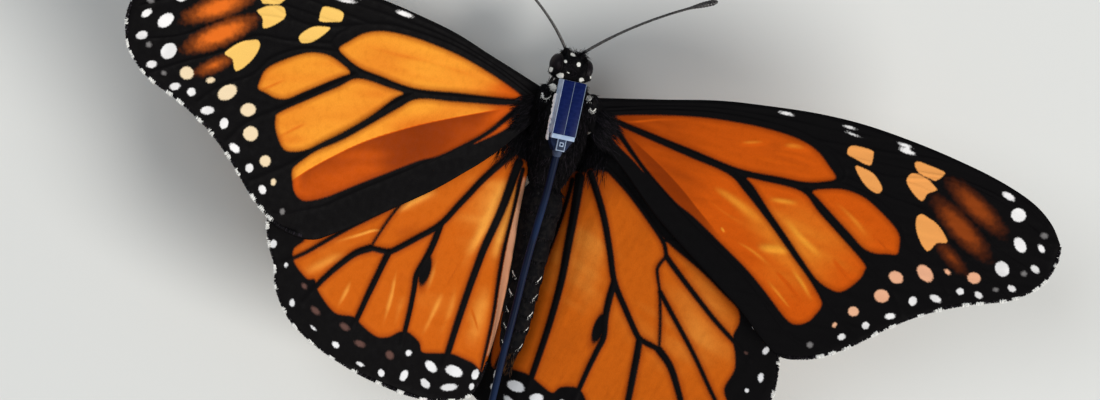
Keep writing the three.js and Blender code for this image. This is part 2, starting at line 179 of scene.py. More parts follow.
# The forewing's orange fields.
FORE_FIELDS = {
    "cell": [
        (1, -0.45), (5, 0.95), (10, 2.25), (15, 3), (18.5, 3.2), (21, 3.05), (23, 2.45),
        (24.5, 1.4), (25.7, 0.3), (24.8, -0.4), (22.7, -1.15), (20, -1.5), (15.5, -1.95),
        (10, -1.45), (4.8, -1), (2.4, -0.75),
    ],
    "upper": [
        (23.7, -1.8), (25.5, -0.95), (27.2, -0.6), (29.5, -0.9), (32.5, -2.4),
        (33.9, -3.5), (34.3, -4.7), (34.3, -5.6), (33.25, -5.9), (32, -6.2),
        (30.6, -6), (28.8, -4.95), (25, -2.7),
    ],
    "middle": [
        (16.6, -2.65), (18.5, -2.4), (22.6, -2.2), (25, -3.7), (28.25, -5.65),
        (31.2, -7.5), (31.5, -8.35), (31.2, -9.4), (30.1, -10.9), (29, -11.3),
        (27, -10.75), (25, -9.3), (22.5, -7.4), (20, -5.5), (17.6, -3.4),
    ],
    "lower": [
        (1.4, -1.25), (4, -1.6), (10, -2.3), (14.6, -2.85), (17, -4.3), (20.5, -6.8),
        (23.7, -9.1), (26, -10.75), (27.9, -12.5), (28.2, -13.3), (27.9, -14.2),
        (27.35, -15.2), (26.3, -15.85), (25, -15.7), (22, -13.95), (17.3, -11.4),
        (12.5, -8.85), (10, -7.8), (6.4, -5.5), (4.4, -3.9), (2.4, -2),
    ],
    "base": [(0.5, -1.7), (2.2, -2.6), (4, -4.2), (6, -5.8), (4.6, -5), (2.2, -3.5)],
}
# The paler fields inside the forewing's black tip.
FORE_CREAM = [
    [(26.1, 3.1), (26.1, 3.9), (26.9, 4.2), (28.4, 4.2), (28.75, 3.9), (28.85, 2.75),
     (28.3, 2.6), (27, 2.85)],
    [(27.3, 2.1), (28.4, 2.1), (29.5, 1.8), (30.6, 0.85), (30.7, 0.3), (30.3, 0),
     (29.3, 0.25), (28.2, 1)],
    [(33.3, 4.1), (33.5, 4.5), (34.3, 4.5), (36.4, 4.3), (36.6, 3.95), (36, 3.15),
     (35.3, 3.15), (34, 3.4)],
    [(32.95, 2.3), (33.2, 3.05), (34, 3.2), (35.2, 2.95), (36.3, 2.3), (36.2, 2.05),
     (35.5, 1.5), (35.3, 0.75), (34.9, 0.65), (34.1, 1.1), (33.3, 1.75)],
    [(35.15, -1.3), (35.5, -0.75), (36.2, -0.85), (37.6, -1.35), (38.9, -2.5), (38.9, -2.9),
     (38, -3.2), (37.6, -4), (37.2, -4.3), (36.4, -3.7), (35.5, -2.5)],
]
# Spots: centre, half length, half width and tilt.
FORE_DUSKY = [
    (40.9, 1.7, 3.8, 1.1, -27), (40, -0.95, 4, 1.2, -31), (39.9, -4.2, 1.9, 0.62, -31),
]
FORE_SALMON_SPOTS = [
    (42.9, -5.6, 0.85, 0.7, 0), (40, -5.8, 0.58, 0.34, -20), (37.75, -6.65, 1.22, 0.8, -32),
    (34.9, -7.95, 0.95, 0.72, -14), (34, -10.3, 0.92, 0.8, 0), (31.6, -12.75, 0.7, 0.62, 0),
    (30.1, -14.7, 0.36, 0.4, 0),
]
FORE_SPOTS = [
    (43.9, 3.8, 0.95, 0.42, -15), (45.5, 2.2, 0.9, 0.82, 0), (46.6, -0.8, 1.02, 0.66, -42),
    (45.5, -3.8, 0.97, 0.8, -40),
    (48.9, -0.5, 0.65, 0.38, -40), (48.9, -2.8, 0.68, 0.43, -25), (47.1, -5.5, 0.63, 0.4, -15),
    (43.9, -7.2, 0.63, 0.4, -20), (41.9, -7.4, 0.52, 0.45, 0), (39.6, -8.9, 0.8, 0.45, -12),
    (37.35, -9.85, 0.52, 0.6, 0), (35.5, -12.1, 0.72, 0.42, 22),
    (33.3, -13.8, 0.5, 0.48, 40), (31.2, -15.7, 0.55, 0.42, 40),
    (18.6, 5.3, 1.15, 0.27, 5), (25.5, 5.85, 1, 0.25, 2), (26, 5.25, 1.2, 0.2, -4),
    (31.7, 5.75, 1.05, 0.28, -3), (32.1, 5.2, 1.2, 0.33, -3), (32, 5.5, 0.5, 0.3, 40),
]
FORE_FAINT_SPOTS = [
    (48.8, 0.9, 0.5, 0.4, 0), (47.9, -3.6, 0.42, 0.36, 0), (45.5, -6.1, 0.4, 0.3, 0),
    (28.2, -17.5, 0.42, 0.4, 0),
]
# Veins: the points they run through, then their width.
FORE_VEINS = {
    "costa": ([(-1, 0.6), (5.7, 2.5), (11.3, 4.1), (22, 5.95), (32.4, 6.05), (42.5, 4.75),
               (49, 2)], 0.5),
    "subcosta": ([(0, 0.1), (6, 2.2), (12, 3.7), (18.5, 4.55), (25, 5.1), (30, 5.8)], 0.35),
    "radius": ([(0.3, -0.2), (6, 1.75), (12, 3.2), (18.5, 3.8), (22, 3.55), (27, 2.3),
                (31, 2), (37, 3.4), (43, 2.9), (49.6, 0.2)], 0.4),
    "radius_1": ([(22.5, 3.45), (30, 4.4), (36, 5.3), (42, 4.9)], 0.3),
    "radius_2": ([(26, 2.7), (33, 3.35), (39, 3.9), (44.8, 3.1), (48.9, 2)], 0.3),
    "radius_4": ([(30, 1.9), (33.5, 2), (36.7, 1.6), (40.5, 0.2), (44.8, -2.1), (49.6, -3.3)],
                 0.3),
    "discal": ([(24.5, 2.9), (26.2, 1.6), (26.6, 0.6), (26, -0.1)], 0.35),
    "media_1": ([(26.6, 0.6), (32, -0.1), (36, -0.4), (39.4, -2.7), (43.6, -4.6),
                 (47.3, -6.5)], 0.35),
    "media_3": ([(25.7, -0.1), (30, -0.6), (33.4, -2.2), (35.3, -4.4), (38.9, -6.3),
                 (40.9, -8.2)], 0.4),
    "cubitus": ([(0.5, -0.8), (3.7, -1.1), (10, -1.8), (15.3, -2.25), (20.7, -1.7),
                 (23, -1.35), (26, -0.1)], 0.6),
    "cubitus_1": ([(23.1, -1.9), (25, -3.2), (28.2, -5.3), (31, -7), (34.6, -9.2),
                   (36.6, -11.6)], 0.6),
    "cubitus_2": ([(15.5, -2.5), (19.6, -5.3), (23, -7.85), (26, -10.2), (28.4, -12.4),
                   (33, -15.2)], 0.6),
    "anal": ([(0.3, -1.4), (3.7, -3.4), (5.7, -5), (7.8, -6.4), (12.5, -9.4),
              (20, -13.6), (26, -17.2), (29.4, -17.9)], 0.4),
}
# Where the white dashes of the forewing's fringe sit.
FORE_DASHES = [
    (51.2, -1.85), (50.3, -3.9), (49.5, -4.8), (47.9, -6.5), (46.6, -7.1), (44.4, -8.1),
    (42.9, -8.5), (40.2, -9.9), (38.4, -10.8), (36, -12.9), (34.4, -14.3), (32, -16.6),
    (30.75, -17.6), (29.6, -18.3),
]

HIND_FIELD = [
    (0.3, -2.4), (1.5, -1.5), (4.2, -1.7), (6.1, -3.05), (8.3, -4.4), (11.4, -6),
    (16.2, -7.7), (19.5, -9.2), (21.4, -10.1), (22.1, -11.4), (22, -13.1), (22.9, -14.8),
    (23.4, -16.4), (23.1, -18.6), (24.1, -20.2), (23.5, -21.5), (21.5, -22.6),
    (20.5, -22.4), (19.7, -23.4), (17, -24.9), (14.5, -24.6), (13.3, -25.1), (11, -25.7),
    (9.4, -25.3), (7.6, -24.1), (5.4, -24.6), (4.5, -25.5), (2.6, -25.1), (0.8, -24.6),
    (-2, -24.7), (-4.2, -24.8), (-5, -18.6), (-4.8, -10), (-3.8, -4.5), (-1, -2.6),
]
HIND_VEINS = {
    "cubitus": ([(1.2, -2.2), (2.2, -3.7), (3.8, -6.1), (5.6, -9.2), (7.3, -12.1),
                 (9.7, -14.4), (12.4, -16.7), (13.3, -16.95), (15, -17.15)], 0.8),
    "media_3": ([(15, -17.15), (16.8, -18.4), (18.5, -20.5), (19.9, -22.6), (21, -25)], 0.75),
    "cubitus_1": ([(12.7, -16.9), (13.25, -19.6), (14, -24), (14.3, -26)], 0.8),
    "cubitus_2": ([(7.3, -12.2), (7.4, -14.2), (7.7, -16), (8.3, -18), (8.1, -19.6),
                   (7.8, -22), (7.5, -25.6)], 0.85),
    "anal_2": ([(0.1, -3), (0.2, -5), (0.55, -10), (1, -14), (1.25, -19), (1.3, -26)], 1.1),
    "anal_3": ([(-0.65, -3.5), (-0.85, -6), (-1.5, -11.7), (-2.15, -15.8), (-2.85, -19.5),
                (-3.5, -25)], 0.5),
    "media_1": ([(12.2, -7.6), (15.2, -9.5), (19.3, -12), (22.2, -13.5), (24.5, -14.8)],
                0.55),
    "media_2": ([(13, -11.4), (15.1, -13.2), (18.8, -16.4), (22.3, -19.8), (25, -22)], 0.5),
    "radius": ([(2.6, -0.9), (5.8, -2.6), (9.2, -4.8), (11.3, -6.3), (12.2, -7.6)], 0.6),
    "radial": ([(11.2, -6.1), (14, -5.6), (18, -5.9), (21, -7), (24, -8.5)], 0.4),
    "costal": ([(2.4, -0.4), (6, 0.6), (12, -1), (19, -4.6), (23.2, -7.8)], 0.4),
    "discal": ([(12.2, -7.6), (11.7, -9), (12.1, -10), (13, -11.5), (14.2, -14.5),
                (15.05, -17.1)], 0.34),
}
HIND_MARGIN = dict(gap=0.3, front=-4.2, back=-23.5)      # the pale strip by the body
SCENT_POUCH = (7.35, -17.3, 0.68, 1.6, 0)
HIND_SPOTS = [
    (23.8, -11.3, 0.3, 0.24, -20), (25.8, -13.2, 0.33, 0.5, -15), (26.3, -16.1, 0.33, 0.5, 10),
    (25.4, -17.9, 0.25, 0.25, 0), (26.6, -20.4, 0.4, 0.45, 0), (24.4, -22, 0.25, 0.3, 0),
    (22.3, -25.5, 0.35, 0.45, -20), (18.9, -27.2, 0.45, 0.16, 15), (15.6, -28, 0.52, 0.34, 10),
    (11.9, -29, 0.55, 0.25, 0), (8.9, -29.1, 0.5, 0.4, 20), (5.9, -28.5, 0.48, 0.66, 20),
    (2.9, -28.5, 0.75, 0.42, 18), (-0.2, -28, 1.1, 0.4, -20), (-2.95, -27.1, 0.35, 0.4, 0),
    (6.2, -26.1, 0.45, 0.34, -20), (2.8, -26.6, 0.92, 0.5, 16), (-0.2, -26.2, 1.2, 0.58, 0),
    (-2.95, -25.75, 0.45, 0.6, 10),
]
HIND_FAINT_SPOTS = [
    (23.9, -14.2, 0.3, 0.22, 0), (21.5, -23.4, 0.5, 0.34, 20), (19.3, -25.4, 0.8, 0.4, 15),
    (15.2, -25.9, 0.8, 0.42, 10), (12.7, -27, 0.9, 0.4, 0), (8.5, -27, 0.7, 0.5, 10),
]
HIND_DASHES = [
    (26.3, -11.7), (27.1, -14.1), (27.9, -17.3), (28, -18.8), (27.1, -20.5), (25.4, -22.8),
    (24.9, -24.6), (22.9, -26.5), (21, -27.6), (18.6, -28.6), (15.6, -29.5), (12.4, -29.9),
    (9, -30.3), (6, -30.3), (3, -30), (-0.4, -29.1), (-2, -27.9),
]

FORE = dict(
    edges=(FORE_LEADING, FORE_TRAILING), axis=0, span=(-1.5, 50.75), rows=340, columns=160,
    sag=0.89, veins=FORE_VEINS,
)
HIND = dict(
    edges=(HIND_INNER, HIND_OUTER), axis=1, span=(3.25, -30.05), rows=215, columns=190,
    sag=0.6, veins=HIND_VEINS,
)
KINDS = {"fore": FORE, "hind": HIND}
SAG_SPAN = 25
TROUGH_START = 4.6
TROUGH_WIDTH = 7
FOLD_WIDTH = 13
FOLD_FADE = 11
TUCK_START = (-3, 5)
WING_THICKNESS = 0.24
VEIN_SWELL = 0.16
TONE_LIMITS = (-2.6, 1.6)
FIELD_REACH = 1.5                 # pattern distances are flat beyond this

# ---- numbers -----------------------------------------------------------------------

NOISE_TABLE = np.random.default_rng(11).uniform(-1, 1, 4096)
NOISE_STRIDES = np.array([73, 179, 283])


def smooth(value, low, high):
    """0 below low, 1 above high, and an easy curve between."""
    share = np.clip((np.asarray(value, float) - low) / (high - low), 0, 1)
    return share * share * (3 - 2 * share)


def noise(points, seed=0):
    """Smooth noise from -1 to 1 at points of two or three coordinates."""
    points = np.asarray(points, float)
    cell = np.floor(points).astype(int)
    part = points - cell
    part = part * part * (3 - 2 * part)
    strides = NOISE_STRIDES[:points.shape[-1]]
    total = np.zeros(points.shape[:-1])
    for corner in product((0, 1), repeat=points.shape[-1]):
        weight = np.prod(np.where(corner, part, 1 - part), axis=-1)
        place = (cell + np.array(corner)) @ strides + seed * 977
        total += weight * NOISE_TABLE[place % len(NOISE_TABLE)]
    return total


def curve(points, closed=False, steps=8):
    """Places along a smooth curve through the given points."""
    knots = np.array(points, float)
    count = len(knots)
    index = np.arange(count if closed else count - 1)
    before, start, end, after = (
        knots[(index + k) % count if closed else np.clip(index + k, 0, count - 1)]
        for k in (-1, 0, 1, 2)
    )
    t = (np.arange(steps) / steps)[:, None, None]
    places = 0.5 * (
        2 * start + (end - before) * t + (2 * before - 5 * start + 4 * end - after) * t ** 2
        + (3 * start - before - 3 * end + after) * t ** 3
    )
    places = places.transpose(1, 0, 2).reshape(-1, knots.shape[1])
    return places if closed else np.vstack([places, knots[-1:]])


def line_distance(points, line):
    """How far each point is from a line of points, and how far along the line that is."""
    start, step = line[:-1], np.diff(line, axis=0)
    offset = points[:, None, :] - start[None]
    share = np.sum(offset * step, axis=-1) / np.maximum(np.sum(step ** 2, axis=-1), 1e-12)
    share = np.clip(share, 0, 1)
    gap = np.linalg.norm(offset - share[..., None] * step, axis=-1)
    nearest = np.argmin(gap, axis=1)
    row = np.arange(len(points))
    return gap[row, nearest], (nearest + share[row, nearest]) / len(step)


def near(points, shape):
    """Which points lie within reach of a shape's box."""
    low, high = shape.min(0) - FIELD_REACH, shape.max(0) + FIELD_REACH
    return np.all((points > low) & (points < high), axis=1)


def field(points, outline):
    """How far inside a smooth closed outline each point lies, negative outside."""
    shape = curve(outline, closed=True, steps=6)
    shape = np.vstack([shape, shape[:1]])
    value = np.full(len(points), -FIELD_REACH)
    chosen = near(points, shape)
    place = points[chosen]
    (ax, ay), (bx, by) = shape[:-1].T, shape[1:].T
    x, y = place[:, :1], place[:, 1:]
    crosses = (ay > y) != (by > y)
    rise = np.where(by == ay, 1, by - ay)
    inside = np.sum(crosses & (x < ax + (bx - ax) * (y - ay) / rise), axis=1) % 2 == 1
    gap = line_distance(place, shape)[0]
    value[chosen] = np.where(inside, gap, -gap)
    return np.clip(value, -FIELD_REACH, FIELD_REACH)


def spot(points, spec):
    """How far inside a tilted oval each point lies, negative outside."""
    x, y, half_length, half_width, tilt = spec
    turn = math.radians(tilt)
    right, up = points[:, 0] - x, points[:, 1] - y
    along = (right * math.cos(turn) + up * math.sin(turn)) / half_length
    across = (up * math.cos(turn) - right * math.sin(turn)) / half_width
    value = (1 - np.hypot(along, across)) * min(half_length, half_width)
    return np.clip(value, -FIELD_REACH, FIELD_REACH)


def widest(values):
    """The greatest of several fields at each point."""
    return np.max(np.array(values), axis=0)


def fields(points, outlines):
    """How far inside the nearest of several outlines each point lies."""
    return widest([field(points, outline) for outline in outlines])


def spots(points, specs):
    """How far inside the nearest of several ovals each point lies."""
    return widest([spot(points, spec) for spec in specs])


def along_line(where, run, line):
    """Places on a line, where the run along it reaches the given lengths."""
    return np.stack([np.interp(where, run, kept) for kept in line.T], axis=1)


def fan(faces):
    """The triangles that faces split into."""
    return np.array([(f[0], f[i], f[i + 1]) for f in faces for i in range(1, len(f) - 1)])


def vein_fields(points, veins):
    """How far inside the nearest vein each point lies, and the ridge that all raise."""
    inside = np.full(len(points), -FIELD_REACH)
    ridge = np.zeros(len(points))
    for path, width in veins.values():
        line = curve(path)
        chosen = near(points, line)
        gap, share = line_distance(points[chosen], line)
        taper = 1 - 0.35 * share
        inside[chosen] = np.maximum(inside[chosen], width / 2 * taper - gap)
        crest = np.exp(-(gap / (0.42 * width)) ** 2) * (0.4 + width) * taper
        ridge[chosen] = np.maximum(ridge[chosen], crest)
    return inside, ridge


# ---- materials ---------------------------------------------------------------------

def material(name, roughness=0.6, **sockets):
    """A new material and its Principled shader, with plain values for its sockets."""
    made = bpy.data.materials.new(name)
    made.use_nodes = True
    shader = made.node_tree.nodes["Principled BSDF"]
    shader.inputs["Roughness"].default_value = roughness
    for socket, value in sockets.items():
        shader.inputs[socket.replace("_", " ")].default_value = value
    return made, shader


def node(shader, kind, inputs=(), **settings):
    """Adds a node beside the shader; inputs maps sockets to values or other sockets."""
    tree = shader.id_data
    made = tree.nodes.new("ShaderNode" + kind)
    for key, value in settings.items():
        setattr(made, key, value)
    for key, value in dict(inputs).items():
        if isinstance(value, bpy.types.NodeSocket):
            tree.links.new(value, made.inputs[key])
        else:
            made.inputs[key].default_value = value
    return made


def attribute(shader, name, output="Fac"):
    """A value that each point of a piece carries."""
    return node(shader, "Attribute", attribute_name=name).outputs[output]


def maths(shader, operation, *numbers):
    """A number worked out from values or sockets."""
    return node(shader, "Math", enumerate(numbers), operation=operation).outputs[0]


def step_up(shader, value, low, high):
    """0 where value is under low, 1 where it is over high."""
    return node(shader, "MapRange", {"Value": value, "From Min": low, "From Max": high},
                interpolation_type="SMOOTHSTEP").outputs[0]


def mix(shader, factor, first, second):
    """A colour between two; each is a socket or an (r, g, b)."""
    def whole(colour):
        return colour if isinstance(colour, bpy.types.NodeSocket) else (*colour, 1)
    made = node(shader, "Mix", {0: factor, 6: whole(first), 7: whole(second)},
                data_type="RGBA")
    return made.outputs[2]


def blend(shader, value, low, high, first, second):
    """The first colour where a value is under low, the second where it is over high."""
    return mix(shader, step_up(shader, value, low, high), first, second)


def texture(shader, kind, output, vector, stretch, **inputs):
    """A texture in a space that is stretched along its axes."""
    placed = node(shader, "Mapping", {"Vector": vector, "Scale": stretch}).outputs[0]
    return node(shader, kind, {"Vector": placed, **inputs}).outputs[output]


def grain(shader, vector, scale, detail=2.0, stretch=(1, 1, 1)):
    """Noise from 0 to 1 in space."""
    return texture(shader, "TexNoise", "Fac", vector, stretch, Scale=scale, Detail=detail)


def cells(shader, vector, scale, stretch=(1, 1, 1)):
    """How far each place is from the middle of its small cell."""
    return texture(shader, "TexVoronoi", "Distance", vector, stretch, Scale=scale)


def finish(shader, colour, height=None, depth=0.05, strength=0.6, roughness=None):
    """Joins a colour, a bump of that depth in millimetres and a roughness."""
    tree = shader.id_data
    tree.links.new(colour, shader.inputs["Base Color"])
    if height is not None:
        bump = node(shader, "Bump", {"Height": height, "Distance": depth * MM,
                                     "Strength": strength})
        tree.links.new(bump.outputs[0], shader.inputs["Normal"])
    if roughness is not None:
        tree.links.new(roughness, shader.inputs["Roughness"])


def object_space(shader):
    """Places in a piece's own space, in metres."""
    return node(shader, "TexCoord").outputs["Object"]


# ---- pieces ------------------------------------------------------------------------

class Shape:
    """A piece as it is put together: its points, faces and point values.

    The usual values are those of every part that states no others.
    """

    def __init__(self, **usual):
        self.usual = usual
        self.points = []
        self.faces = []
        self.values = {}
        self.count = 0

    def add(self, points, faces, **values):
        points = np.asarray(points, float)
        values = {**self.usual, **values}
        for name in set(values) | set(self.values):
            kept = self.values.setdefault(name, [np.zeros(self.count)])
            kept.append(np.broadcast_to(values.get(name, 0.0), len(points)).astype(float))
        self.points.append(points)
        self.faces += [tuple(int(i) + self.count for i in face) for face in faces]
        self.count += len(points)
        return self

    def piece(self, name, finish_material, slot, replaces=()):
        values = {key: np.concatenate(kept) for key, kept in self.values.items()}
        new_piece(name, np.vstack(self.points), self.faces, [finish_material],
                  replaces, values)


def facing_out(points, faces):
    """The faces of a closed shape, turned to face out."""
    triangles = fan(faces)
    a, b, c = (points[triangles[:, i]] for i in range(3))
    volume = np.sum(a * np.cross(b, c))
    return faces if volume > 0 else [tuple(reversed(face)) for face in faces]


def add_object(name, data):
    """A new object in the scene."""
    made = bpy.data.objects.new(name, data)
    bpy.context.scene.collection.objects.link(made)
    return made


def taken_from(mesh):
    """Points and faces of a bmesh, which is then freed."""
    mesh.verts.index_update()
    points = np.array([v.co for v in mesh.verts])
    faces = [tuple(v.index for v in face.verts) for face in mesh.faces]
    mesh.free()
    return points, faces


def new_piece(name, points, faces, materials, replaces, values, uv=None,
              face_material=None):
    """A mesh object in the scene, riding on the body."""
    mesh = bpy.data.meshes.new(name)
    mesh.from_pydata((ORIGIN + points * MM).tolist(), [], faces)
    for kept in materials:
        mesh.materials.append(kept)
    mesh.shade_smooth()
    for key, value in values.items():
        kind = "FLOAT_VECTOR" if np.ndim(value) == 2 else "FLOAT"
        layer = mesh.attributes.new(key, kind, "POINT")
        layer.data.foreach_set("vector" if kind == "FLOAT_VECTOR" else "value",
                               np.ravel(value).astype(np.float32))
    if face_material is not None:
        mesh.polygons.foreach_set("material_index", face_material)
    if uv is not None:
        layer = mesh.uv_layers.new(name="OFBake")
        layer.data.foreach_set("uv", np.ravel(uv).astype(np.float32))
    mesh.validate()
    piece = add_object(name, mesh)
    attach(piece, "root")
    if replaces:
        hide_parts(*replaces)


def tube(path, radii, sides=10, flatten=1.0, upright=(0, 0, 1), round_ends=True):
    """Points and faces of a round bar along a path, with a radius at each place."""
    path = np.asarray(path, float)
    radii = np.broadcast_to(radii, len(path)).astype(float)
    along = np.gradient(path, axis=0)
    along /= np.linalg.norm(along, axis=1)[:, None]
    across = np.cross(np.asarray(upright, float), along)
    across /= np.linalg.norm(across, axis=1)[:, None]
    over = np.cross(along, across)
    turn = (np.arange(sides) + 0.5) / sides * 2 * math.pi
    ring = (np.cos(turn)[:, None, None] * across + flatten * np.sin(turn)[:, None, None] * over)
    body = (path + ring * radii[:, None]).transpose(1, 0, 2).reshape(-1, 3)
    bulge = 0.6 if round_ends else 0
    ends = np.array([path[0] - along[0] * radii[0] * bulge,
                     path[-1] + along[-1] * radii[-1] * bulge])
    points = np.vstack([body, ends])
    first, last = len(body), len(body) + 1
    faces = []
    for i in range(len(path) - 1):
        for j in range(sides):
            a, b = i * sides + j, i * sides + (j + 1) % sides
            faces.append((a, b, b + sides, a + sides))
    top = (len(path) - 1) * sides
    for j in range(sides):
        k = (j + 1) % sides
        faces.append((first, k, j))
        faces.append((last, top + j, top + k))
    return points, facing_out(points, faces)


def ball(centre, half_size, rings=16, sides=24):
    """Points and faces of an egg shape with its poles on the Y axis."""
    tilt = np.linspace(-math.pi / 2, math.pi / 2, rings + 1)[1:-1]
    path = np.zeros((len(tilt), 3))
    path[:, 1] = np.sin(tilt)
    points, faces = tube(path, np.cos(tilt), sides, round_ends=False)
    points[-2:] = [(0, -1, 0), (0, 1, 0)]
    return points * np.array(half_size) + np.array(centre), faces


# ---- wings -------------------------------------------------------------------------

def place_on_wing(wing, x, y, height):
    """Body places for places on a wing: x out from its hinge and y towards the head.

    The lift raises the tip, the nose raises the front edge and the sweep swings the tip
    towards the head.
    """
    side = math.copysign(1, wing["hinge"][0])
    turn = (
        Matrix.Rotation(math.radians(-side * wing["lift"]), 3, "Y")
        @ Matrix.Rotation(math.radians(-wing["nose"]), 3, "X")
        @ Matrix.Rotation(math.radians(-side * wing["sweep"]), 3, "Z")
    )
    flat = np.stack([side * np.asarray(x), -np.asarray(y), np.asarray(height)], axis=-1)
    return flat @ np.array(turn).T + np.array(wing["hinge"])


def wing_height(wing, x):
    """The camber of a wing, and the trough where a hindwing folds down by the abdomen."""
    inward = np.clip((TROUGH_START - x) / TROUGH_WIDTH, 0, 1)
    sag = KINDS[wing["kind"]]["sag"] * (x / SAG_SPAN) ** 2
    return -sag - wing.get("trough", 0) * inward ** 1.6


def unfold(wing, points):
    """Pattern places for places on a wing whose inner part is drawn outwards."""
    drawn = wing.get("fold", 0) * (1 - np.exp(points[:, 1] / FOLD_FADE))
    inner = (points[:, 0] - drawn) / (1 - drawn / FOLD_WIDTH)
    return np.stack([np.where(points[:, 0] < FOLD_WIDTH, inner, points[:, 0]),
                     points[:, 1]], axis=1)


def tucked(wing, grid):
    """A wing's places once the inner part of its trailing edge is drawn forwards."""
    depth, full, end = wing.get("tuck", (0, 0, 1))
    out = grid[..., 0]
    reach = smooth(out, *TUCK_START) * (1 - smooth(out, full, end))
    moved = grid.copy()
    moved[..., 1] += depth * reach * np.linspace(0, 1, grid.shape[1]) ** 2
    return moved.reshape(-1, 2)


def wing_grid(kind):
    """Places over a wing in rows that run from one edge to the other."""
    axis = kind["axis"]
    stations = np.linspace(*kind["span"], kind["rows"])
    rows = []
    for edge in kind["edges"]:
        line = curve(edge, steps=12)
        if line[0, axis] > line[-1, axis]:
            line = line[::-1]
        other = np.interp(stations, line[:, axis], line[:, 1 - axis])
        rows.append(np.stack([stations, other] if axis == 0 else [other, stations], axis=1))
    share = np.linspace(0, 1, kind["columns"])[None, :, None]
    return rows[0][:, None] * (1 - share) + rows[1][:, None] * share


def streaks(points, length, width, turn, seed):
    """Noise drawn out along a direction, in degrees."""
    angle = math.radians(turn)
    along = points[:, 0] * math.cos(angle) + points[:, 1] * math.sin(angle)
    across = points[:, 1] * math.cos(angle) - points[:, 0] * math.sin(angle)
    return noise(np.stack([along / length, across / width], axis=1), seed)


def crease_depth(points, wing):
    """How far behind the forewing's crease each point lies, in mm, negative before it."""
    line = curve(wing["crease_line"])
    gap = line_distance(points, line)[0]
    behind = points[:, 1] < np.interp(points[:, 0], line[:, 0], line[:, 1])
    return np.where(behind, gap, -gap)


def streak_fields(points, wing):
    """The height in mm that a wing's streaks add at each point, and their painted shine:
    a painted highlight along ridges and painted shade along hollows.
    """
    height = np.zeros(len(points))
    painted_shine = np.zeros(len(points))
    for path, half_width, strength in wing["streaks"]:
        line = curve(path)
        chosen = near(points, line)
        gap, share = line_distance(points[chosen], line)
        ends = smooth(share, 0, 0.45) * (1 - smooth(share, 0.55, 1))
        crest = np.exp(-(gap / half_width) ** 2) * ends * strength
        height[chosen] += 0.34 * half_width * crest
        painted_shine[chosen] += crest
    return height, painted_shine


def relief(wing, points):
    """Pleats, wrinkles and the crease of a wing's membrane, in mm."""
    seed = wing["seed"]
    fore = wing["kind"] == "fore"
    turn = -8 if fore else 68
    tired = wing["wrinkle"]
    height = 0.07 * tired * streaks(points, 6, 0.9, turn, seed)
    height += 0.03 * tired * streaks(points, 3, 0.42, turn + 14, seed + 9)
    height += 0.05 * noise(points / 4, seed + 5)
    height += streak_fields(points, wing)[0]
    if fore:
        behind = crease_depth(points, wing)
        end = wing["crease_line"][-1][0]
        reach = smooth(points[:, 0], 1, 8) * (1 - smooth(points[:, 0], end - 3, end + 1))
        height -= 0.16 * wing["crease"] * reach * np.clip(behind, 0, 4.5)
    return height


def fore_upper(points):
    """The pattern above a forewing, as distances inside each kind of mark."""
    return dict(
        ink=-fields(points, FORE_FIELDS.values()),
        vein=vein_fields(points, FORE_VEINS)[0],
        cream=fields(points, FORE_CREAM),
        dusk=spots(points, FORE_DUSKY),
        salmon=spots(points, FORE_SALMON_SPOTS),
        pale=spots(points, FORE_SPOTS),
        faint=spots(points, FORE_FAINT_SPOTS),
    )


def hind_upper(points):
    """The pattern above a hindwing, as distances inside each kind of mark."""
    veins = vein_fields(points, HIND_VEINS)[0]
    inner = field(points, HIND_FIELD)
    none = np.full(len(points), -FIELD_REACH)
    last_vein = curve(HIND_VEINS["anal_3"][0])
    inward = np.interp(-points[:, 1], -last_vein[:, 1], last_vein[:, 0]) - points[:, 0]
    ends = np.minimum(HIND_MARGIN["front"] - points[:, 1], points[:, 1] - HIND_MARGIN["back"])
    margin = np.clip(np.minimum(inward - HIND_MARGIN["gap"], 0.35 * ends), -FIELD_REACH,
                     FIELD_REACH)
    return dict(
        ink=widest([-inner, veins, spot(points, SCENT_POUCH)]),
        vein=veins, cream=none, dusk=none, salmon=margin,
        pale=spots(points, HIND_SPOTS),
        faint=spots(points, HIND_FAINT_SPOTS),
    )


def under(values):
    """The pattern beneath a wing: the same fields with wider veins and larger spots."""
    made = dict(values)
    made["ink"] = widest([values["ink"], values["vein"] + 0.12])
    for key, growth in dict(cream=0.25, dusk=0.5, salmon=0.14, pale=0.14, faint=0.1).items():
        made[key] = values[key] + growth
    return made


def tone_and_painted_light(wing, points):
    """Painted light and shade in a wing's colour, over its own uneven tone: -1 dark to 1
    bright. The wing also grows darker towards its hinge.
    """
    seed = wing["seed"]
    value = 0.16 * noise(points / 5, seed + 20)
    value += 0.12 * streaks(points, 5, 0.8, -10, seed + 21)
    # Painted highlights along the streaks (painted shade along the hollows), and painted light
    # over the whole wing, painted shade where its strength is negative.
    value += wing["painted_shine"] * streak_fields(points, wing)[1] + wing["painted_lightness"]
    # Painted light and painted shade in soft washes.
    for x, y, reach, strength in wing["painted_washes"]:
        gap = np.hypot(points[:, 0] - x, points[:, 1] - y)
        value += strength * np.exp(-(gap / reach) ** 2)
    # Painted shade behind a forewing's crease, with a painted highlight in a band just before it.
    if wing["kind"] == "fore":
        behind = crease_depth(points, wing)
        end = wing["crease_line"][-1][0]
        reach = smooth(points[:, 0], 2, 7) * (1 - smooth(points[:, 0], end - 2.5, end + 0.3))
        dark = smooth(behind, -0.06, 0.14) * (0.7 + 0.3 * np.exp(-np.abs(behind) / 0.9))
        painted_lightness = np.exp(-np.clip(-behind, 0, 9) / 1.6) * (behind < 0)
        value += wing["crease"] * reach * (painted_lightness * 0.3 - dark * 1.9)
    base = 1 - smooth(np.hypot(points[:, 0], points[:, 1] + 1.5), 1, 7)
    return np.clip(value - 0.6 * base, *TONE_LIMITS)


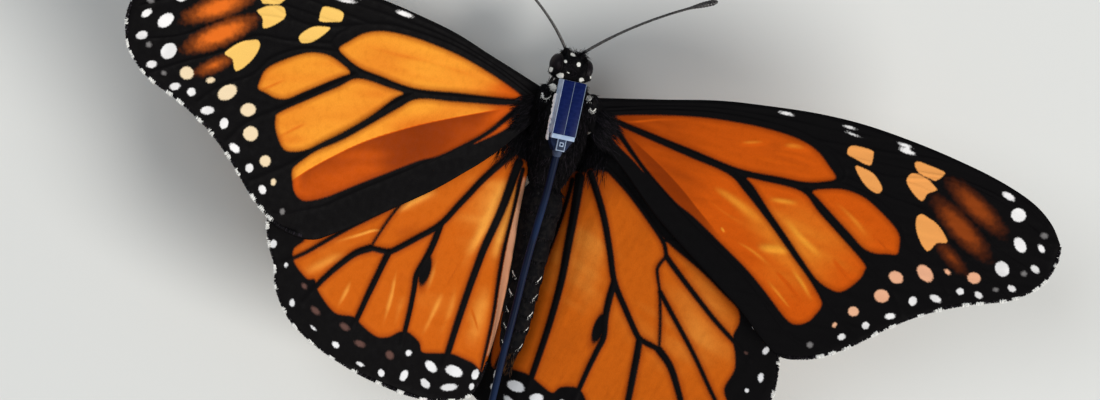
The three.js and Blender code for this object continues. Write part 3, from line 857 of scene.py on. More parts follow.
def wing_material(name, bright, middle, deep, black, pale, salmon, cream, dusk, faint,
                  vein_edge=0.0):
    """A wing's finish: its orange, which runs from painted shadow to painted light with the
    painted light and shade that the wing carries, then each kind of mark with a ragged
    edge over them.
    """
    made, shader = material(name, 0.6, Specular_IOR_Level=0.04)
    place = attribute(shader, "wing", "Vector")

    def wander(scale, reach):
        return maths(shader, "MULTIPLY_ADD", grain(shader, place, scale, 3), 2 * reach,
                     -reach)

    ragged, frayed, mottled = wander(6, 0.1), wander(4.5, 0.12), wander(1.6, 0.3)
    shade = attribute(shader, "tone_and_painted_light")
    # Painted light and shade: half of deep is the painted shadow, deep the painted shade and
    # bright the painted light, with middle between.
    colour = blend(shader, shade, -2.4, -1.2, tuple(0.5 * level for level in deep), deep)
    colour = blend(shader, shade, -1.3, 0, colour, middle)
    colour = blend(shader, shade, 0, 1.1, colour, bright)
    mottle = grain(shader, place, 1.2, 5)
    dull = mix(shader, 0.5, colour, deep)
    colour = mix(shader, maths(shader, "MULTIPLY", step_up(shader, mottle, 0.45, 0.75), 0.25),
                 colour, dull)
    scales = cells(shader, place, 9, (1, 0.62, 1))
    colour = mix(shader, maths(shader, "MULTIPLY", scales, 0.1), colour, black)

    def overlay(under, key, over, low, high, edge=ragged):
        value = maths(shader, "ADD", attribute(shader, key), edge)
        return blend(shader, value, low, high, under, over)

    # Painted light and shade on the marks: each cream, salmon and dusk pair is a painted-shaded
    # and a painted-lit copy of one colour.
    lit = step_up(shader, shade, -0.4, 0.8)
    cream, salmon, dusk = (mix(shader, lit, *pair) for pair in (cream, salmon, dusk))
    edged = mix(shader, 0.6, colour, deep)
    colour = overlay(colour, "ink", edged, -0.75, -0.05)
    if vein_edge:
        colour = overlay(colour, "vein", mix(shader, vein_edge, colour, pale), -0.6, -0.25)
    ground = overlay(colour, "ink", black, -0.22, 0.1)
    ground = overlay(ground, "dusk", mix(shader, 0.68, dusk, black), -0.4, 0.42, mottled)
    ground = overlay(ground, "dusk", dusk, 0.15, 0.85, mottled)
    ground = overlay(ground, "cream", cream, -0.1, 0.1)
    ground = overlay(ground, "faint", faint, -0.05, 0.25, frayed)
    ground = overlay(ground, "salmon", salmon, -0.06, 0.16, frayed)
    white = blend(shader, grain(shader, place, 0.45, 1), 0.35, 0.65,
                  tuple(0.84 * level for level in pale), pale)
    ground = overlay(ground, "pale", white, -0.06, 0.12, frayed)
    rows = grain(shader, place, 16, 1, (0.5, 1.6, 1))
    finish(shader, ground, maths(shader, "ADD", scales, rows), 0.03, 0.3,
           step_up(shader, mottle, -1.2, 1.7))
    return made


def wing_materials():
    """Each kind of wing's finishes, above and beneath."""
    above = dict(black=(0.0035, 0.0031, 0.0035))
    beneath = dict(black=(0.01, 0.009, 0.009), salmon=((0.85, 0.7, 0.55),) * 2,
                   cream=((0.82, 0.6, 0.34),) * 2, dusk=((0.5, 0.3, 0.14),) * 2)
    # Bright is the painted-lit orange and deep the painted-shaded one; in each salmon, cream and
    # dusk pair the first colour is painted shade and the second painted light.
    upper_fore = wing_material(
        "forewing_upper", bright=(0.98, 0.36, 0.03), middle=(0.7, 0.105, 0.003),
        deep=(0.29, 0.038, 0.001), pale=(0.95, 0.93, 0.93), faint=(0.2, 0.19, 0.19),
        salmon=((0.88, 0.45, 0.27), (0.88, 0.7, 0.46)),
        cream=((0.92, 0.38, 0.1), (0.93, 0.57, 0.14)),
        dusk=((0.28, 0.05, 0.006), (0.85, 0.17, 0.015)), **above)
    upper_hind = wing_material(
        "hindwing_upper", bright=(0.97, 0.38, 0.055), middle=(0.64, 0.125, 0.005),
        deep=(0.3, 0.04, 0.002), pale=(0.86, 0.86, 0.88), faint=(0.12, 0.06, 0.05),
        salmon=((0.84, 0.36, 0.19), (0.86, 0.42, 0.24)),
        cream=((0.92, 0.5, 0.14),) * 2, dusk=((0.26, 0.05, 0.006),) * 2, **above)
    under_fore = wing_material(
        "forewing_under", bright=(0.86, 0.36, 0.06), middle=(0.78, 0.28, 0.04),
        deep=(0.6, 0.2, 0.03), pale=(0.85, 0.82, 0.76), faint=(0.6, 0.56, 0.5), **beneath)
    under_hind = wing_material(
        "hindwing_under", bright=(0.82, 0.5, 0.2), middle=(0.76, 0.44, 0.16),
        deep=(0.66, 0.36, 0.12), pale=(0.86, 0.83, 0.78), faint=(0.7, 0.66, 0.6),
        vein_edge=0.75, **beneath)
    return {"fore": [upper_fore, under_fore], "hind": [upper_hind, under_hind]}


def wing_unwrap(points, flat):
    """Places on a wing's unwrap, which spans the flat wing."""
    low, high = flat.min(0), flat.max(0)
    return (points - low) / (high - low).max()


def blade_form(wing, flat, camber, ridge, shape):
    """A blade's points, its upper and lower faces, and the places inside its rim."""
    rows, columns = shape
    i, j = np.meshgrid(np.arange(rows), np.arange(columns), indexing="ij")
    rim = np.minimum(np.minimum(i, rows - 1 - i), np.minimum(j, columns - 1 - j)).ravel()
    half = WING_THICKNESS / 2 * (1 - (1 - np.clip(rim / 5, 0, 1)) ** 2)
    swell = VEIN_SWELL * ridge * np.clip(rim / 3, 0, 1)
    inner = np.flatnonzero(rim > 0)
    upper = place_on_wing(wing, *flat.T, camber + half + swell)
    lower = place_on_wing(wing, *flat[inner].T, (camber - half - 0.7 * swell)[inner])
    points = np.vstack([upper, lower])
    beneath = np.arange(len(flat))
    beneath[inner] = len(flat) + np.arange(len(inner))
    corner = np.arange(len(flat)).reshape(rows, columns)
    quads = np.stack([corner[:-1, :-1], corner[1:, :-1], corner[1:, 1:], corner[:-1, 1:]],
                     axis=-1).reshape(-1, 4)
    faces = np.vstack([quads, beneath[quads][:, ::-1]])
    return points, facing_out(points, [tuple(face) for face in faces.tolist()]), inner


def build_wing(name, wing, materials):
    """A wing's blade, with its pattern above and beneath."""
    kind = KINDS[wing["kind"]]
    grid = wing_grid(kind)
    pattern = unfold(wing, grid.reshape(-1, 2))
    ridge = vein_fields(pattern, kind["veins"])[1]
    flat = tucked(wing, grid)
    membrane = unfold(wing, flat)
    camber = wing_height(wing, flat[:, 0]) + relief(wing, membrane)
    points, faces, inner = blade_form(wing, flat, camber, ridge, grid.shape[:2])

    top = (fore_upper if wing["kind"] == "fore" else hind_upper)(pattern)
    if wing.get("plain_margin"):
        top["salmon"] = np.full(len(flat), -FIELD_REACH)
    for key in ("pale", "salmon"):
        top[key] = top[key] - wing.get("worn", 0)
    bottom = under(top)
    values = {key: np.concatenate([top[key], bottom[key][inner]]) for key in top}
    # The painted light and shade that each point carries, weaker beneath.
    shade = tone_and_painted_light(wing, membrane)
    values["tone_and_painted_light"] = np.concatenate([shade, 0.6 * shade[inner]])
    spread = np.vstack([pattern, pattern[inner]])
    values["wing"] = np.column_stack([spread, np.zeros(len(spread))])

    beneath = np.arange(len(faces)) >= len(faces) // 2
    uv = wing_unwrap(np.vstack([flat, flat[inner]]), flat)[np.array(faces)] * 0.49
    uv[beneath] += (0.0, 0.5)
    new_piece(name + "_blade", points, faces, materials, (name,), values,
              uv=uv + 0.004, face_material=beneath.astype(np.int32))

# Where the fringe runs on each kind of wing, and where its white dashes are.
FRINGES = {
    "fore": dict(line=FORE_TRAILING[6:] + [(50.8, 0.3)], dashes=FORE_DASHES),
    "hind": dict(line=HIND_OUTER[4:] + HIND_INNER[:7:-1], dashes=HIND_DASHES),
}
FRINGE_STEP = 0.028
FRINGE_ROOT = 0.2                 # how far inside the edge its scales begin
MID_WING = (18.0, -8.0)
TUFT_PATCH = 0.003                # width of a tuft's patch on its unwrap


def repeat_locks(sides, count):
    """Faces of so many tapering locks, each of three rings and a tip, and their points."""
    per = 3 * sides + 1
    ring = [(j, (j + 1) % sides) for j in range(sides)]
    one = [(k * sides + a, k * sides + b, (k + 1) * sides + b, (k + 1) * sides + a)
           for k in range(2) for a, b in ring]
    one += [(2 * sides + a, 2 * sides + b, 3 * sides) for a, b in ring]
    one.append(tuple(range(sides))[::-1])
    faces = [tuple(row) for face in one
             for row in (np.arange(count)[:, None] * per + np.array(face)).tolist()]
    return faces, per


def patch_uv(unit, per, faces):
    """Each lock's own small patch on the unwrap, at its root's place."""
    step = np.arange(per)
    local = np.stack([(step % 3) / 2 - 0.5, step / max(per - 1, 1) - 0.5], axis=1) * TUFT_PATCH
    corner = (unit[:, None, :] + local[None]).reshape(-1, 2)
    return corner[np.concatenate([np.array(face) for face in faces])]


def build_fringe(name, wing, finish_material):
    """The row of narrow scales along a wing's outer edge, with its white dashes."""
    rng = np.random.default_rng(40 + wing["seed"])
    spec = FRINGES[wing["kind"]]
    line = curve(spec["line"], steps=16)
    run = np.concatenate([[0], np.cumsum(np.linalg.norm(np.diff(line, axis=0), axis=1))])
    count = int(run[-1] / FRINGE_STEP)
    where = np.sort(rng.uniform(0, run[-1], count))
    root = along_line(where, run, line)
    along = along_line(where + 0.3, run, line) - root + 1e-6
    along /= np.linalg.norm(along, axis=1)[:, None]
    outward = np.stack([along[:, 1], -along[:, 0]], axis=1)
    outward *= np.sign(np.sum(outward * (root - MID_WING), axis=1))[:, None]
    dashes = np.array(spec["dashes"], float)
    gap = np.min(np.linalg.norm(root[:, None] - dashes[None], axis=-1), axis=1)
    white = smooth(gap + rng.normal(0, 0.04, count), 0.5, 0.38)
    length = rng.uniform(0.1, 0.2, count) + 0.14 * white
    heading = outward + along * rng.normal(0, 0.22, count)[:, None]
    start = root - outward * FRINGE_ROOT
    height = wing_height(wing, start[:, 0]) + rng.normal(0, 0.025, count)
    rings = []
    for level, width in ((0, 0.05), (0.45, 0.06), (0.85, 0.035), (1, 0)):
        centre = start + heading * ((length + FRINGE_ROOT) * level)[:, None]
        for across, lift in ((1, 0), (0, 1), (-1, 0), (0, -1))[:4 if width else 1]:
            place = centre + along * width * across
            rings.append(place_on_wing(wing, *place.T, height + lift * width * 0.35))
    points = np.stack(rings, axis=1).reshape(-1, 3)
    faces, per = repeat_locks(4, count)
    flat = wing_grid(KINDS[wing["kind"]]).reshape(-1, 2)
    uv = patch_uv(wing_unwrap(root, flat) * 0.9 + 0.04, per, faces)
    values = {"pale": np.repeat(white, per), "tint": np.repeat(rng.random(count), per)}
    new_piece(name + "_fringe", points, faces, [finish_material], (), values, uv)


# ---- coat --------------------------------------------------------------------------

TUFT_LEVELS = [0, 0.4, 0.75, 1]
TUFT_CURL = 0.5


def build_tufts(name, roots, normals, lie, length, width, lift, values, unit,
                finish_material):
    """A coat piece: thin curved locks that leave the skin at a slant and bend to its lie."""
    count = len(roots)
    flat = lie - np.sum(lie * normals, axis=1)[:, None] * normals
    flat /= np.maximum(np.linalg.norm(flat, axis=1), 1e-6)[:, None]
    side = np.cross(normals, flat)
    centre = roots - normals * 0.06
    rings = []
    for k, level in enumerate(TUFT_LEVELS):
        angle = lift * (1 - TUFT_CURL * level)
        heading = (np.cos(angle)[:, None] * flat + np.sin(angle)[:, None] * normals)
        if k:
            centre = centre + heading * (length * (level - TUFT_LEVELS[k - 1]))[:, None]
        over = np.cross(side, heading)
        reach = (width * (1 - level) ** 0.6)[:, None]
        if level < 1:
            rings += [centre + side * reach, centre + over * reach * 0.6, centre - side * reach]
        else:
            rings.append(centre)
    points = np.stack(rings, axis=1).reshape(-1, 3)
    faces, per = repeat_locks(3, count)
    faces = facing_out(points, faces)
    kept = {key: np.repeat(value, per) for key, value in values.items()}
    kept["along"] = np.tile(np.repeat(TUFT_LEVELS, [3, 3, 3, 1]), count)
    new_piece(name, points, faces, [finish_material], (), kept,
              patch_uv(unit, per, faces))


# ---- body --------------------------------------------------------------------------

ROLL = math.radians(12)           # the body leans a little to its left
ABDOMEN = dict(front=9.5, length=19.1, rise=0.8, lean=0.25)
SEGMENT_ENDS = [9.6, 12.3, 14.9, 17.3, 19.4, 21.3, 23.2, 24.8, 26.8]
THORAX_PROFILE = [
    (0, 0.9), (0.04, 1.6), (0.11, 2.35), (0.2, 2.95), (0.32, 3.4), (0.46, 3.5),
    (0.62, 3.35), (0.78, 2.95), (0.91, 2.4), (1, 1.9),
]
ABDOMEN_PROFILE = [
    (0, 1.95), (0.07, 2.3), (0.17, 2.2), (0.34, 1.95), (0.55, 1.8), (0.76, 1.58),
    (0.87, 1.3), (0.95, 0.85), (1, 0.4),
]
THORAX_LENGTH = 11.4
COAT_DEPTH = dict(thorax=0.3, abdomen=0.08)
COAT_TUFTS = dict(thorax=11000, head=8000, abdomen=10500)
WING_ROOT_HAIRS = 1600            # on each wing
SKIN_VOXEL = 0.115
SKIN_SMOOTHING = 5                # rounds
UNWRAP_FRONT = -6.5
UNWRAP_LENGTH = 36.5

# White marks on the skin and its coat: place, half sizes and strength. The right-hand
# marks behind the eye, on the collar and on the patagium have less strength, which
# greys them: painted shade on that side.
WHITE_SPOTS = [
    ((0.27, -5.05, -0.85), (0.3, 0.26, 0.3), 1), ((1.12, -4.11, -0.5), (0.25, 0.27, 0.35), 1),
    ((-0.37, -4.15, -0.29), (0.25, 0.25, 0.35), 1),
    ((2.34, -3.1, -0.97), (0.17, 0.42, 0.45), 1), ((-2.08, -3.2, -0.85), (0.17, 0.42, 0.4), 0.85),
    ((1.25, -2.62, -0.6), (0.44, 0.32, 0.4), 1), ((-1.18, -2.54, -0.68), (0.29, 0.34, 0.4), 0.9),
    ((2.02, -1.2, -0.25), (0.48, 0.42, 0.5), 1), ((-2.2, -0.89, 0), (0.33, 0.35, 0.4), 0.6),
]
WHITE_SPOTS += [
    ((side * x, y, z), half, 1) for (x, y, z), half in (
        ((2.2, 0.6, -3.9), (0.4, 0.4, 0.5)), ((2.6, 3.6, -3.6), (0.45, 0.3, 0.5)),
        ((2, 6.4, -3.4), (0.35, 0.35, 0.5)), ((2.1, -1.2, -2.6), (0.4, 0.4, 0.4)),
        ((0.6, -4.9, -2.4), (0.25, 0.3, 0.3)),
    ) for side in (1, -1)
]
# White strokes: the points they run through, then half width and strength. The
# right-hand stroke on the tegula has less strength, which greys it: painted shade.
WHITE_STROKES = [
    ([(3.12, -0.35, 0.25), (2.95, 0, 0.28), (2.77, 0.16, 0.28)], 0.1, 1),
    ([(2.77, 0.16, 0.28), (2.4, 0.05, 0.2), (2.04, -0.3, 0.05)], 0.08, 1),
    ([(-2.5, 0.1, 0.25), (-2.68, 0.36, 0.25), (-2.93, 0.38, 0.23), (-3.13, 0.05, 0.22)], 0.1,
     0.6),
    ([(1.68, 10.2, -0.35), (1.36, 9.95, -0.13), (0.9, 9.84, 0.13), (0.37, 9.95, 0.36)], 0.05,
     0.22),
    ([(0.85, -3.33, -0.55), (0.61, -3.16, -0.56), (0.38, -3.04, -0.6)], 0.08, 0.9),
]


def profile_radius(profile, front, length, y, depth):
    """A body part's radius at y, inside its outer form by the coat's depth."""
    line = curve([(front + share * length, radius) for share, radius in profile])
    return np.maximum(np.interp(y, line[:, 0], line[:, 1]) - depth, 0.25)


def lathe(profile, front, length, depth, flatten, rise=0.0, lean=0.0):
    """A round form along the body, inside its profile by the coat's depth."""
    stations = front + length * np.linspace(0, 1, 60)
    share = (stations - front) / length
    path = np.stack([lean * share, stations, BODY_AXIS_Z + rise * share], axis=1)
    return tube(path, profile_radius(profile, front, length, stations, depth), 36, flatten)


def body_parts():
    """The overlapping forms that the skin is drawn over."""
    parts = [
        lathe(THORAX_PROFILE, THORAX_FRONT, THORAX_LENGTH, COAT_DEPTH["thorax"], 0.86),
        lathe(ABDOMEN_PROFILE, ABDOMEN["front"], ABDOMEN["length"],
              COAT_DEPTH["abdomen"], 0.96, ABDOMEN["rise"], ABDOMEN["lean"]),
        ball((0, -3.85, -1.55), (1.62, 1.26, 1.36)),
        ball((0.1, -4, -1), (1.3, 1, 0.88)),
        ball((0, -4.3, -2.3), (1.15, 0.8, 0.8)),
        ball((0, -2.45, -1.6), (0.95, 0.9, 0.85)),
        ball((0.27, -4.98, -1.15), (0.36, 0.3, 0.36)),
        ball((0.02, 9.35, -1.6), (1.75, 1, 1.65)),
    ]
    for side in (1, -1):
        parts += [
            ball((side * 1.62, -2.98, -1.3), (0.8, 0.55, 1.0)),
            ball((side * 1.8, -1.1, -0.65), (0.6, 0.5, 0.55)),
            ball((side * 1.05, -1.75, -0.55), (0.95, 0.6, 0.6)),
            ball((0.25 + side * 0.95, -2.5, -1.1), (0.62, 0.42, 0.5)),
            ball((side * 2.75, -0.15, -0.2), (0.85, 1.35, 0.5)),
            ball((side * 0.75, -4.75, -1.0), (0.34, 0.3, 0.3)),
            ball((side * 1.08, -3.7, -0.88), (0.56, 0.98, 0.82)),
            tube([(side * 0.74, -4.75, -1.1), (side * 0.84, -5.2, -1.1),
                  (side * 0.98, -5.62, -1.15)], [0.36, 0.3, 0.18], 12),
            tube([(side * 0.42, -4.1, -2.9), (side * 0.5, -4.6, -3.15),
                  (side * 0.55, -4.95, -3.1), (side * 0.5, -5.15, -2.85)],
                 [0.3, 0.36, 0.3, 0.16], 12),
            tube([(0.25 + side * 0.35, 27.4, -0.85), (0.25 + side * 0.42, 29, -0.95)],
                 [0.42, 0.24], 10),
        ]
    return parts


def body_skin():
    """One closed skin over all the body's parts: its points, faces and normals, in mm."""
    shape = Shape()
    for points, faces in body_parts():
        shape.add(points, faces)
    rough = bpy.data.meshes.new("body_parts")
    rough.from_pydata(np.vstack(shape.points).tolist(), [], shape.faces)
    holder = add_object("body_parts", rough)
    remesh = holder.modifiers.new("skin", "REMESH")
    remesh.mode = "VOXEL"
    remesh.voxel_size = SKIN_VOXEL
    whole = bpy.data.meshes.new_from_object(
        holder.evaluated_get(bpy.context.evaluated_depsgraph_get()))
    points = np.empty(len(whole.vertices) * 3)
    whole.vertices.foreach_get("co", points)
    points = points.reshape(-1, 3)
    edges = np.empty(len(whole.edges) * 2, int)
    whole.edges.foreach_get("vertices", edges)
    first, second = edges.reshape(-1, 2).T
    links = np.bincount(np.concatenate([first, second]), minlength=len(points))[:, None]
    for _ in range(SKIN_SMOOTHING):
        total = np.zeros_like(points)
        np.add.at(total, first, points[second])
        np.add.at(total, second, points[first])
        points = 0.45 * points + 0.55 * total / links
    whole.vertices.foreach_set("co", points.ravel())
    whole.update()
    normals = np.array([v.normal for v in whole.vertices])
    faces = [tuple(polygon.vertices) for polygon in whole.polygons]
    points = points + normals * body_relief(points)[:, None]
    bpy.data.objects.remove(holder)
    return points, faces, normals


def body_turn(points):
    """The angle round the body from the middle of its back, in radians."""
    share = np.clip((points[:, 1] - ABDOMEN["front"]) / ABDOMEN["length"], 0, 1)
    out = points[:, 0] - ABDOMEN["lean"] * share
    up = points[:, 2] - BODY_AXIS_Z - ABDOMEN["rise"] * share
    turn = np.arctan2(out, up) - ROLL
    return (turn + math.pi) % (2 * math.pi) - math.pi


def segment_share(y):
    """How far along its own segment each place on the abdomen is, and the segment."""
    ends = np.array(SEGMENT_ENDS)
    index = np.clip(np.searchsorted(ends, y) - 1, 0, len(ends) - 2)
    return (y - ends[index]) / (ends[index + 1] - ends[index]), index


def body_relief(points):
    """How far the skin stands out at each place: the abdomen's plates, pleat and grain."""
    y = points[:, 1]
    share, _ = segment_share(y)
    on_abdomen = smooth(y, 10, 11) * (1 - smooth(y, 26.8, 27.2))
    plates = 0.11 * smooth(share, 0, 0.85) - 0.13 * smooth(share, 0.9, 1)
    turn = np.abs(body_turn(points))
    pleat = -0.12 * np.exp(-((turn - 1.9) / 0.16) ** 2)
    return on_abdomen * (plates + pleat) + 0.025 * noise(points * 2.2, 31)


def mark_distance(points):
    """How far outside the nearest white mark each point is, in mm, and its strength."""
    nearest = np.full(len(points), 9.0)
    strength = np.zeros(len(points))
    marks = [((np.linalg.norm((points - np.array(centre)) / np.array(half), axis=1) - 1)
              * min(half), power) for centre, half, power in WHITE_SPOTS]
    marks += [(line_distance(points, curve(path))[0] - half_width, power)
              for path, half_width, power in WHITE_STROKES]
    for gap, power in marks:
        closer = gap < nearest
        nearest = np.where(closer, gap, nearest)
        strength = np.where(closer, power, strength)
    return nearest, strength


def body_white(points):
    """How white the skin or coat is at each place, from 0 to 1."""
    outside, strength = mark_distance(points)
    value = strength * smooth(outside, 0.05, -0.03)
    share, index = segment_share(points[:, 1])
    turn = np.abs(body_turn(points))
    late = points[:, 1] > 17.5
    slant = share + 0.9 * (turn - 0.8)
    arcs = smooth(np.abs(slant - 0.9), 0.055, 0.025) * smooth(np.abs(turn - 0.84), 0.3, 0.2)
    belly = smooth(np.abs(share - 0.85), 0.14, 0.08) * smooth(np.abs(turn - 2.35), 0.2, 0.12)
    return np.maximum(value, np.maximum(arcs * late, belly * (points[:, 1] > 10)))


def body_unwrap(points):
    """Places on the body's unwrap: round it one way and along it the other."""
    return np.stack([body_turn(points) / (2 * math.pi) + 0.5,
                     (points[:, 1] - UNWRAP_FRONT) / UNWRAP_LENGTH], axis=1)


def inset(unit):
    """Keeps places on an unwrap clear of its border."""
    return unit * 0.96 + 0.02


def loop_unwrap(points, faces):
    """The unwrap at each face corner, kept whole where the faces cross the belly line."""
    unit = body_unwrap(points)
    index = np.concatenate([np.array(face) for face in faces])
    owner = np.repeat(np.arange(len(faces)), [len(face) for face in faces])
    loops = unit[index].copy()
    first = unit[[face[0] for face in faces], 0][owner]
    loops[:, 0] += np.round(first - loops[:, 0])
    return inset(loops)


def scatter(points, faces, normals, count, weight, rng):
    """Roots over a skin, crowded where the weight is high: places and normals."""
    triangles = fan(faces)
    centre = points[triangles].mean(axis=1)
    order = np.lexsort(np.round(centre, 3).T)
    triangles, centre = triangles[order], centre[order]
    a, b, c = (points[triangles[:, k]] for k in range(3))
    area = np.linalg.norm(np.cross(b - a, c - a), axis=1)
    chance = area * weight(centre)
    pick = rng.choice(len(triangles), count, p=chance / chance.sum())
    u, v = rng.random(count), rng.random(count)
    over = u + v > 1
    u[over], v[over] = 1 - u[over], 1 - v[over]
    mixed = np.stack([1 - u - v, u, v], axis=1)[:, :, None]
    place = (points[triangles[pick]] * mixed).sum(axis=1)
    normal = (normals[triangles[pick]] * mixed).sum(axis=1)
    return place, normal / np.linalg.norm(normal, axis=1)[:, None]


def clear_of_tag(points):
    """0 under the tag, where no hair stands."""
    x, y, z = points.T
    (front, back), half_width = TAG_SEAT, 1.4
    under_tag = (np.abs(x - TAG["x"]) < half_width) & (y > front) & (y < back) & (z > 0)
    return np.where(under_tag, 0.0, 1.0)


def coat_length(place, white):
    """How long the coat is beside its usual length: shorter on and around white marks."""
    outside = mark_distance(place)[0]
    for ahead in (0.4, 0.8):
        outside = np.minimum(outside, mark_distance(place + np.array([0, ahead, 0]))[0])
    length = 0.3 + 0.65 * smooth(outside, 0, 0.5)
    return np.where(white > 0.3, 0.3, length)


def build_coat(points, faces, normals, hair):
    """Tufts over the head, thorax and abdomen."""
    rng = np.random.default_rng(5)

    def roots(part, weight):
        return scatter(points, faces, normals, COAT_TUFTS[part], weight, rng)

    def finish_coat(name, place, normal, lie, length, width, lift, white, brown):
        values = {"pale": white, "tint": rng.random(len(place)), "brown": brown}
        build_tufts(name, place, normal, lie, length, width, lift, values,
                    inset(body_unwrap(place)), hair)

    def crowding(place):
        return 1 + 4 * body_white(place)

    place, normal = roots("thorax", lambda p: (
        clear_of_tag(p) * smooth(p[:, 1], -2.6, -1.9) * (1 - smooth(p[:, 1], 9.2, 9.9))
        * crowding(p)))
    back = np.array([0.0, 1.0, 0.0])
    stray = rng.normal(0, 0.35, place.shape)
    white = body_white(place)
    top = smooth(normal[:, 2], -0.2, 0.7)
    length = rng.uniform(0.6, 1.25, len(place)) * coat_length(place, white)
    length *= 0.75 + 0.25 * top
    lift = np.radians(rng.uniform(12, 34, len(place)) * (1 - 0.5 * white))
    finish_coat("coat_thorax", place, normal, back + stray, length,
                rng.uniform(0.035, 0.06, len(place)) * (1 + white), lift, white,
                np.zeros(len(place)))

    place, normal = roots("head", lambda p: (1 - smooth(p[:, 1], -2.7, -2.2)) * crowding(p))
    white = body_white(place)
    palp = (place[:, 2] < -2.3) & (place[:, 1] < -4.6)
    forward = np.where(palp[:, None], [0.0, -1.0, 0.3], [0.0, 0.5, 0.2])
    length = rng.uniform(0.25, 0.55, len(place)) * coat_length(place, white)
    socket = np.array([ANTENNA["base"]]) * np.array([(1, 1, 1), (-1, 1, 1)])
    beside = np.linalg.norm(place[:, None] - socket[None], axis=-1).min(axis=1)
    tufted = smooth(beside, 0.75, 0.45)
    length *= 1 + 1.5 * tufted * np.where(place[:, 2] > -2.3, 1, 0)
    lift = np.radians(rng.uniform(25, 60, len(place)) * (1 - 0.6 * white) + 20 * tufted)
    finish_coat("coat_head", place, normal, forward + rng.normal(0, 0.3, place.shape),
                length, rng.uniform(0.025, 0.04, len(place)) * (1 + 1.2 * white), lift,
                white, np.zeros(len(place)))

    place, normal = roots("abdomen", lambda p: smooth(p[:, 1], 9.3, 10))
    white = body_white(place)
    tail = smooth(place[:, 1], 26.6, 27.6)
    length = rng.uniform(0.3, 0.6, len(place)) * (1 + 1.1 * tail) * (1 - 0.3 * white)
    lift = np.radians(rng.uniform(8, 20, len(place)) + 14 * tail)
    finish_coat("coat_abdomen", place, normal, back + rng.normal(0, 0.16, place.shape),
                length, rng.uniform(0.03, 0.05, len(place)), lift, white,
                tail * (rng.random(len(place)) < 0.35))


def build_wing_root_hair(name, wing, hair):
    """Long dark hair that spreads from the body over a wing's base."""
    rng = np.random.default_rng(60 + wing["seed"])
    fore = wing["kind"] == "fore"
    count = WING_ROOT_HAIRS
    reach = 2.6 * rng.beta(1, 3, count)
    if fore:
        x = -0.6 + reach
        y = rng.uniform(-3.2, 0.2, count) - 0.25 * reach
        heading = np.array([1.0, -0.5])
    else:
        x = rng.uniform(-0.6, 2.6, count) + 0.25 * reach
        y = 1.2 - reach * 1.8
        heading = np.array([0.3, -1.0])
    here = place_on_wing(wing, x, y, wing_height(wing, x) + 0.12)
    ahead = place_on_wing(wing, x + 0.1 * heading[0], y + 0.1 * heading[1],
                          wing_height(wing, x) + 0.12)
    above = place_on_wing(wing, x, y, wing_height(wing, x) + 0.22)
    normal = (above - here) * 10
    lie = (ahead - here) * 10 + rng.normal(0, 0.2, here.shape)
    unit = np.stack([(x + 2) / 60, (y + 32) / 60], axis=1)
    values = {"pale": np.zeros(count), "tint": rng.random(count), "brown": np.zeros(count)}
    build_tufts(name + "_hair", here, normal, lie, rng.uniform(0.9, 1.9, count),
                rng.uniform(0.025, 0.04, count), np.radians(rng.uniform(5, 22, count)),
                values, unit, hair)


def skin_material():
    made, shader = material("body_skin", 0.75, Specular_IOR_Level=0.05)
    space = object_space(shader)
    dark = blend(shader, grain(shader, space, 1800, 3), 0.4, 0.7,
                 (0.003, 0.003, 0.004), (0.009, 0.008, 0.008))
    edge = maths(shader, "ADD", attribute(shader, "pale"),
                 maths(shader, "MULTIPLY", grain(shader, space, 5000), 0.2))
    colour = blend(shader, edge, 0.5, 0.75, dark, (0.75, 0.74, 0.7))
    finish(shader, colour, cells(shader, space, 6000), 0.03, 0.6)
    return made


def hair_material():
    made, shader = material("hair", 0.7, Specular_IOR_Level=0.05)
    tint = attribute(shader, "tint")
    dark = mix(shader, tint, (0.003, 0.003, 0.004), (0.011, 0.01, 0.011))
    dark = blend(shader, tint, 0.72, 1, dark, (0.032, 0.026, 0.034))
    brown = mix(shader, attribute(shader, "brown"), dark, (0.11, 0.05, 0.02))
    pale = mix(shader, tint, (0.8, 0.8, 0.78), (0.95, 0.94, 0.9))
    colour = blend(shader, attribute(shader, "pale"), 0.1, 0.95, brown, pale)
    strands = grain(shader, object_space(shader), 9000, 1)
    finish(shader, colour, strands, 0.01, 0.3)
    return made


def build_body(hair):
    points, faces, normals = body_skin()
    values = {"pale": body_white(points)}
    new_piece("body_skin", points, faces, [skin_material()],
              ("head", "thorax", "abdomen", "palp_l", "palp_r"), values,
              uv=loop_unwrap(points, faces))
    build_coat(points, faces, normals, hair)


# ---- head --------------------------------------------------------------------------

EYE = dict(x=1.62, y=-3.75, z=-1.4, half=(0.78, 1.13, 1.26), rim=(1.13, 1.28))
FACET_HEIGHT = 0.009
TONGUE = dict(y=-4.4, z=-4.2, turns=2.6, steps=150)
ANTENNA = dict(base=(0.75, -5.1, -1.6), length=15.9, outward=(39, 67), rise=(22.6, 3.7))


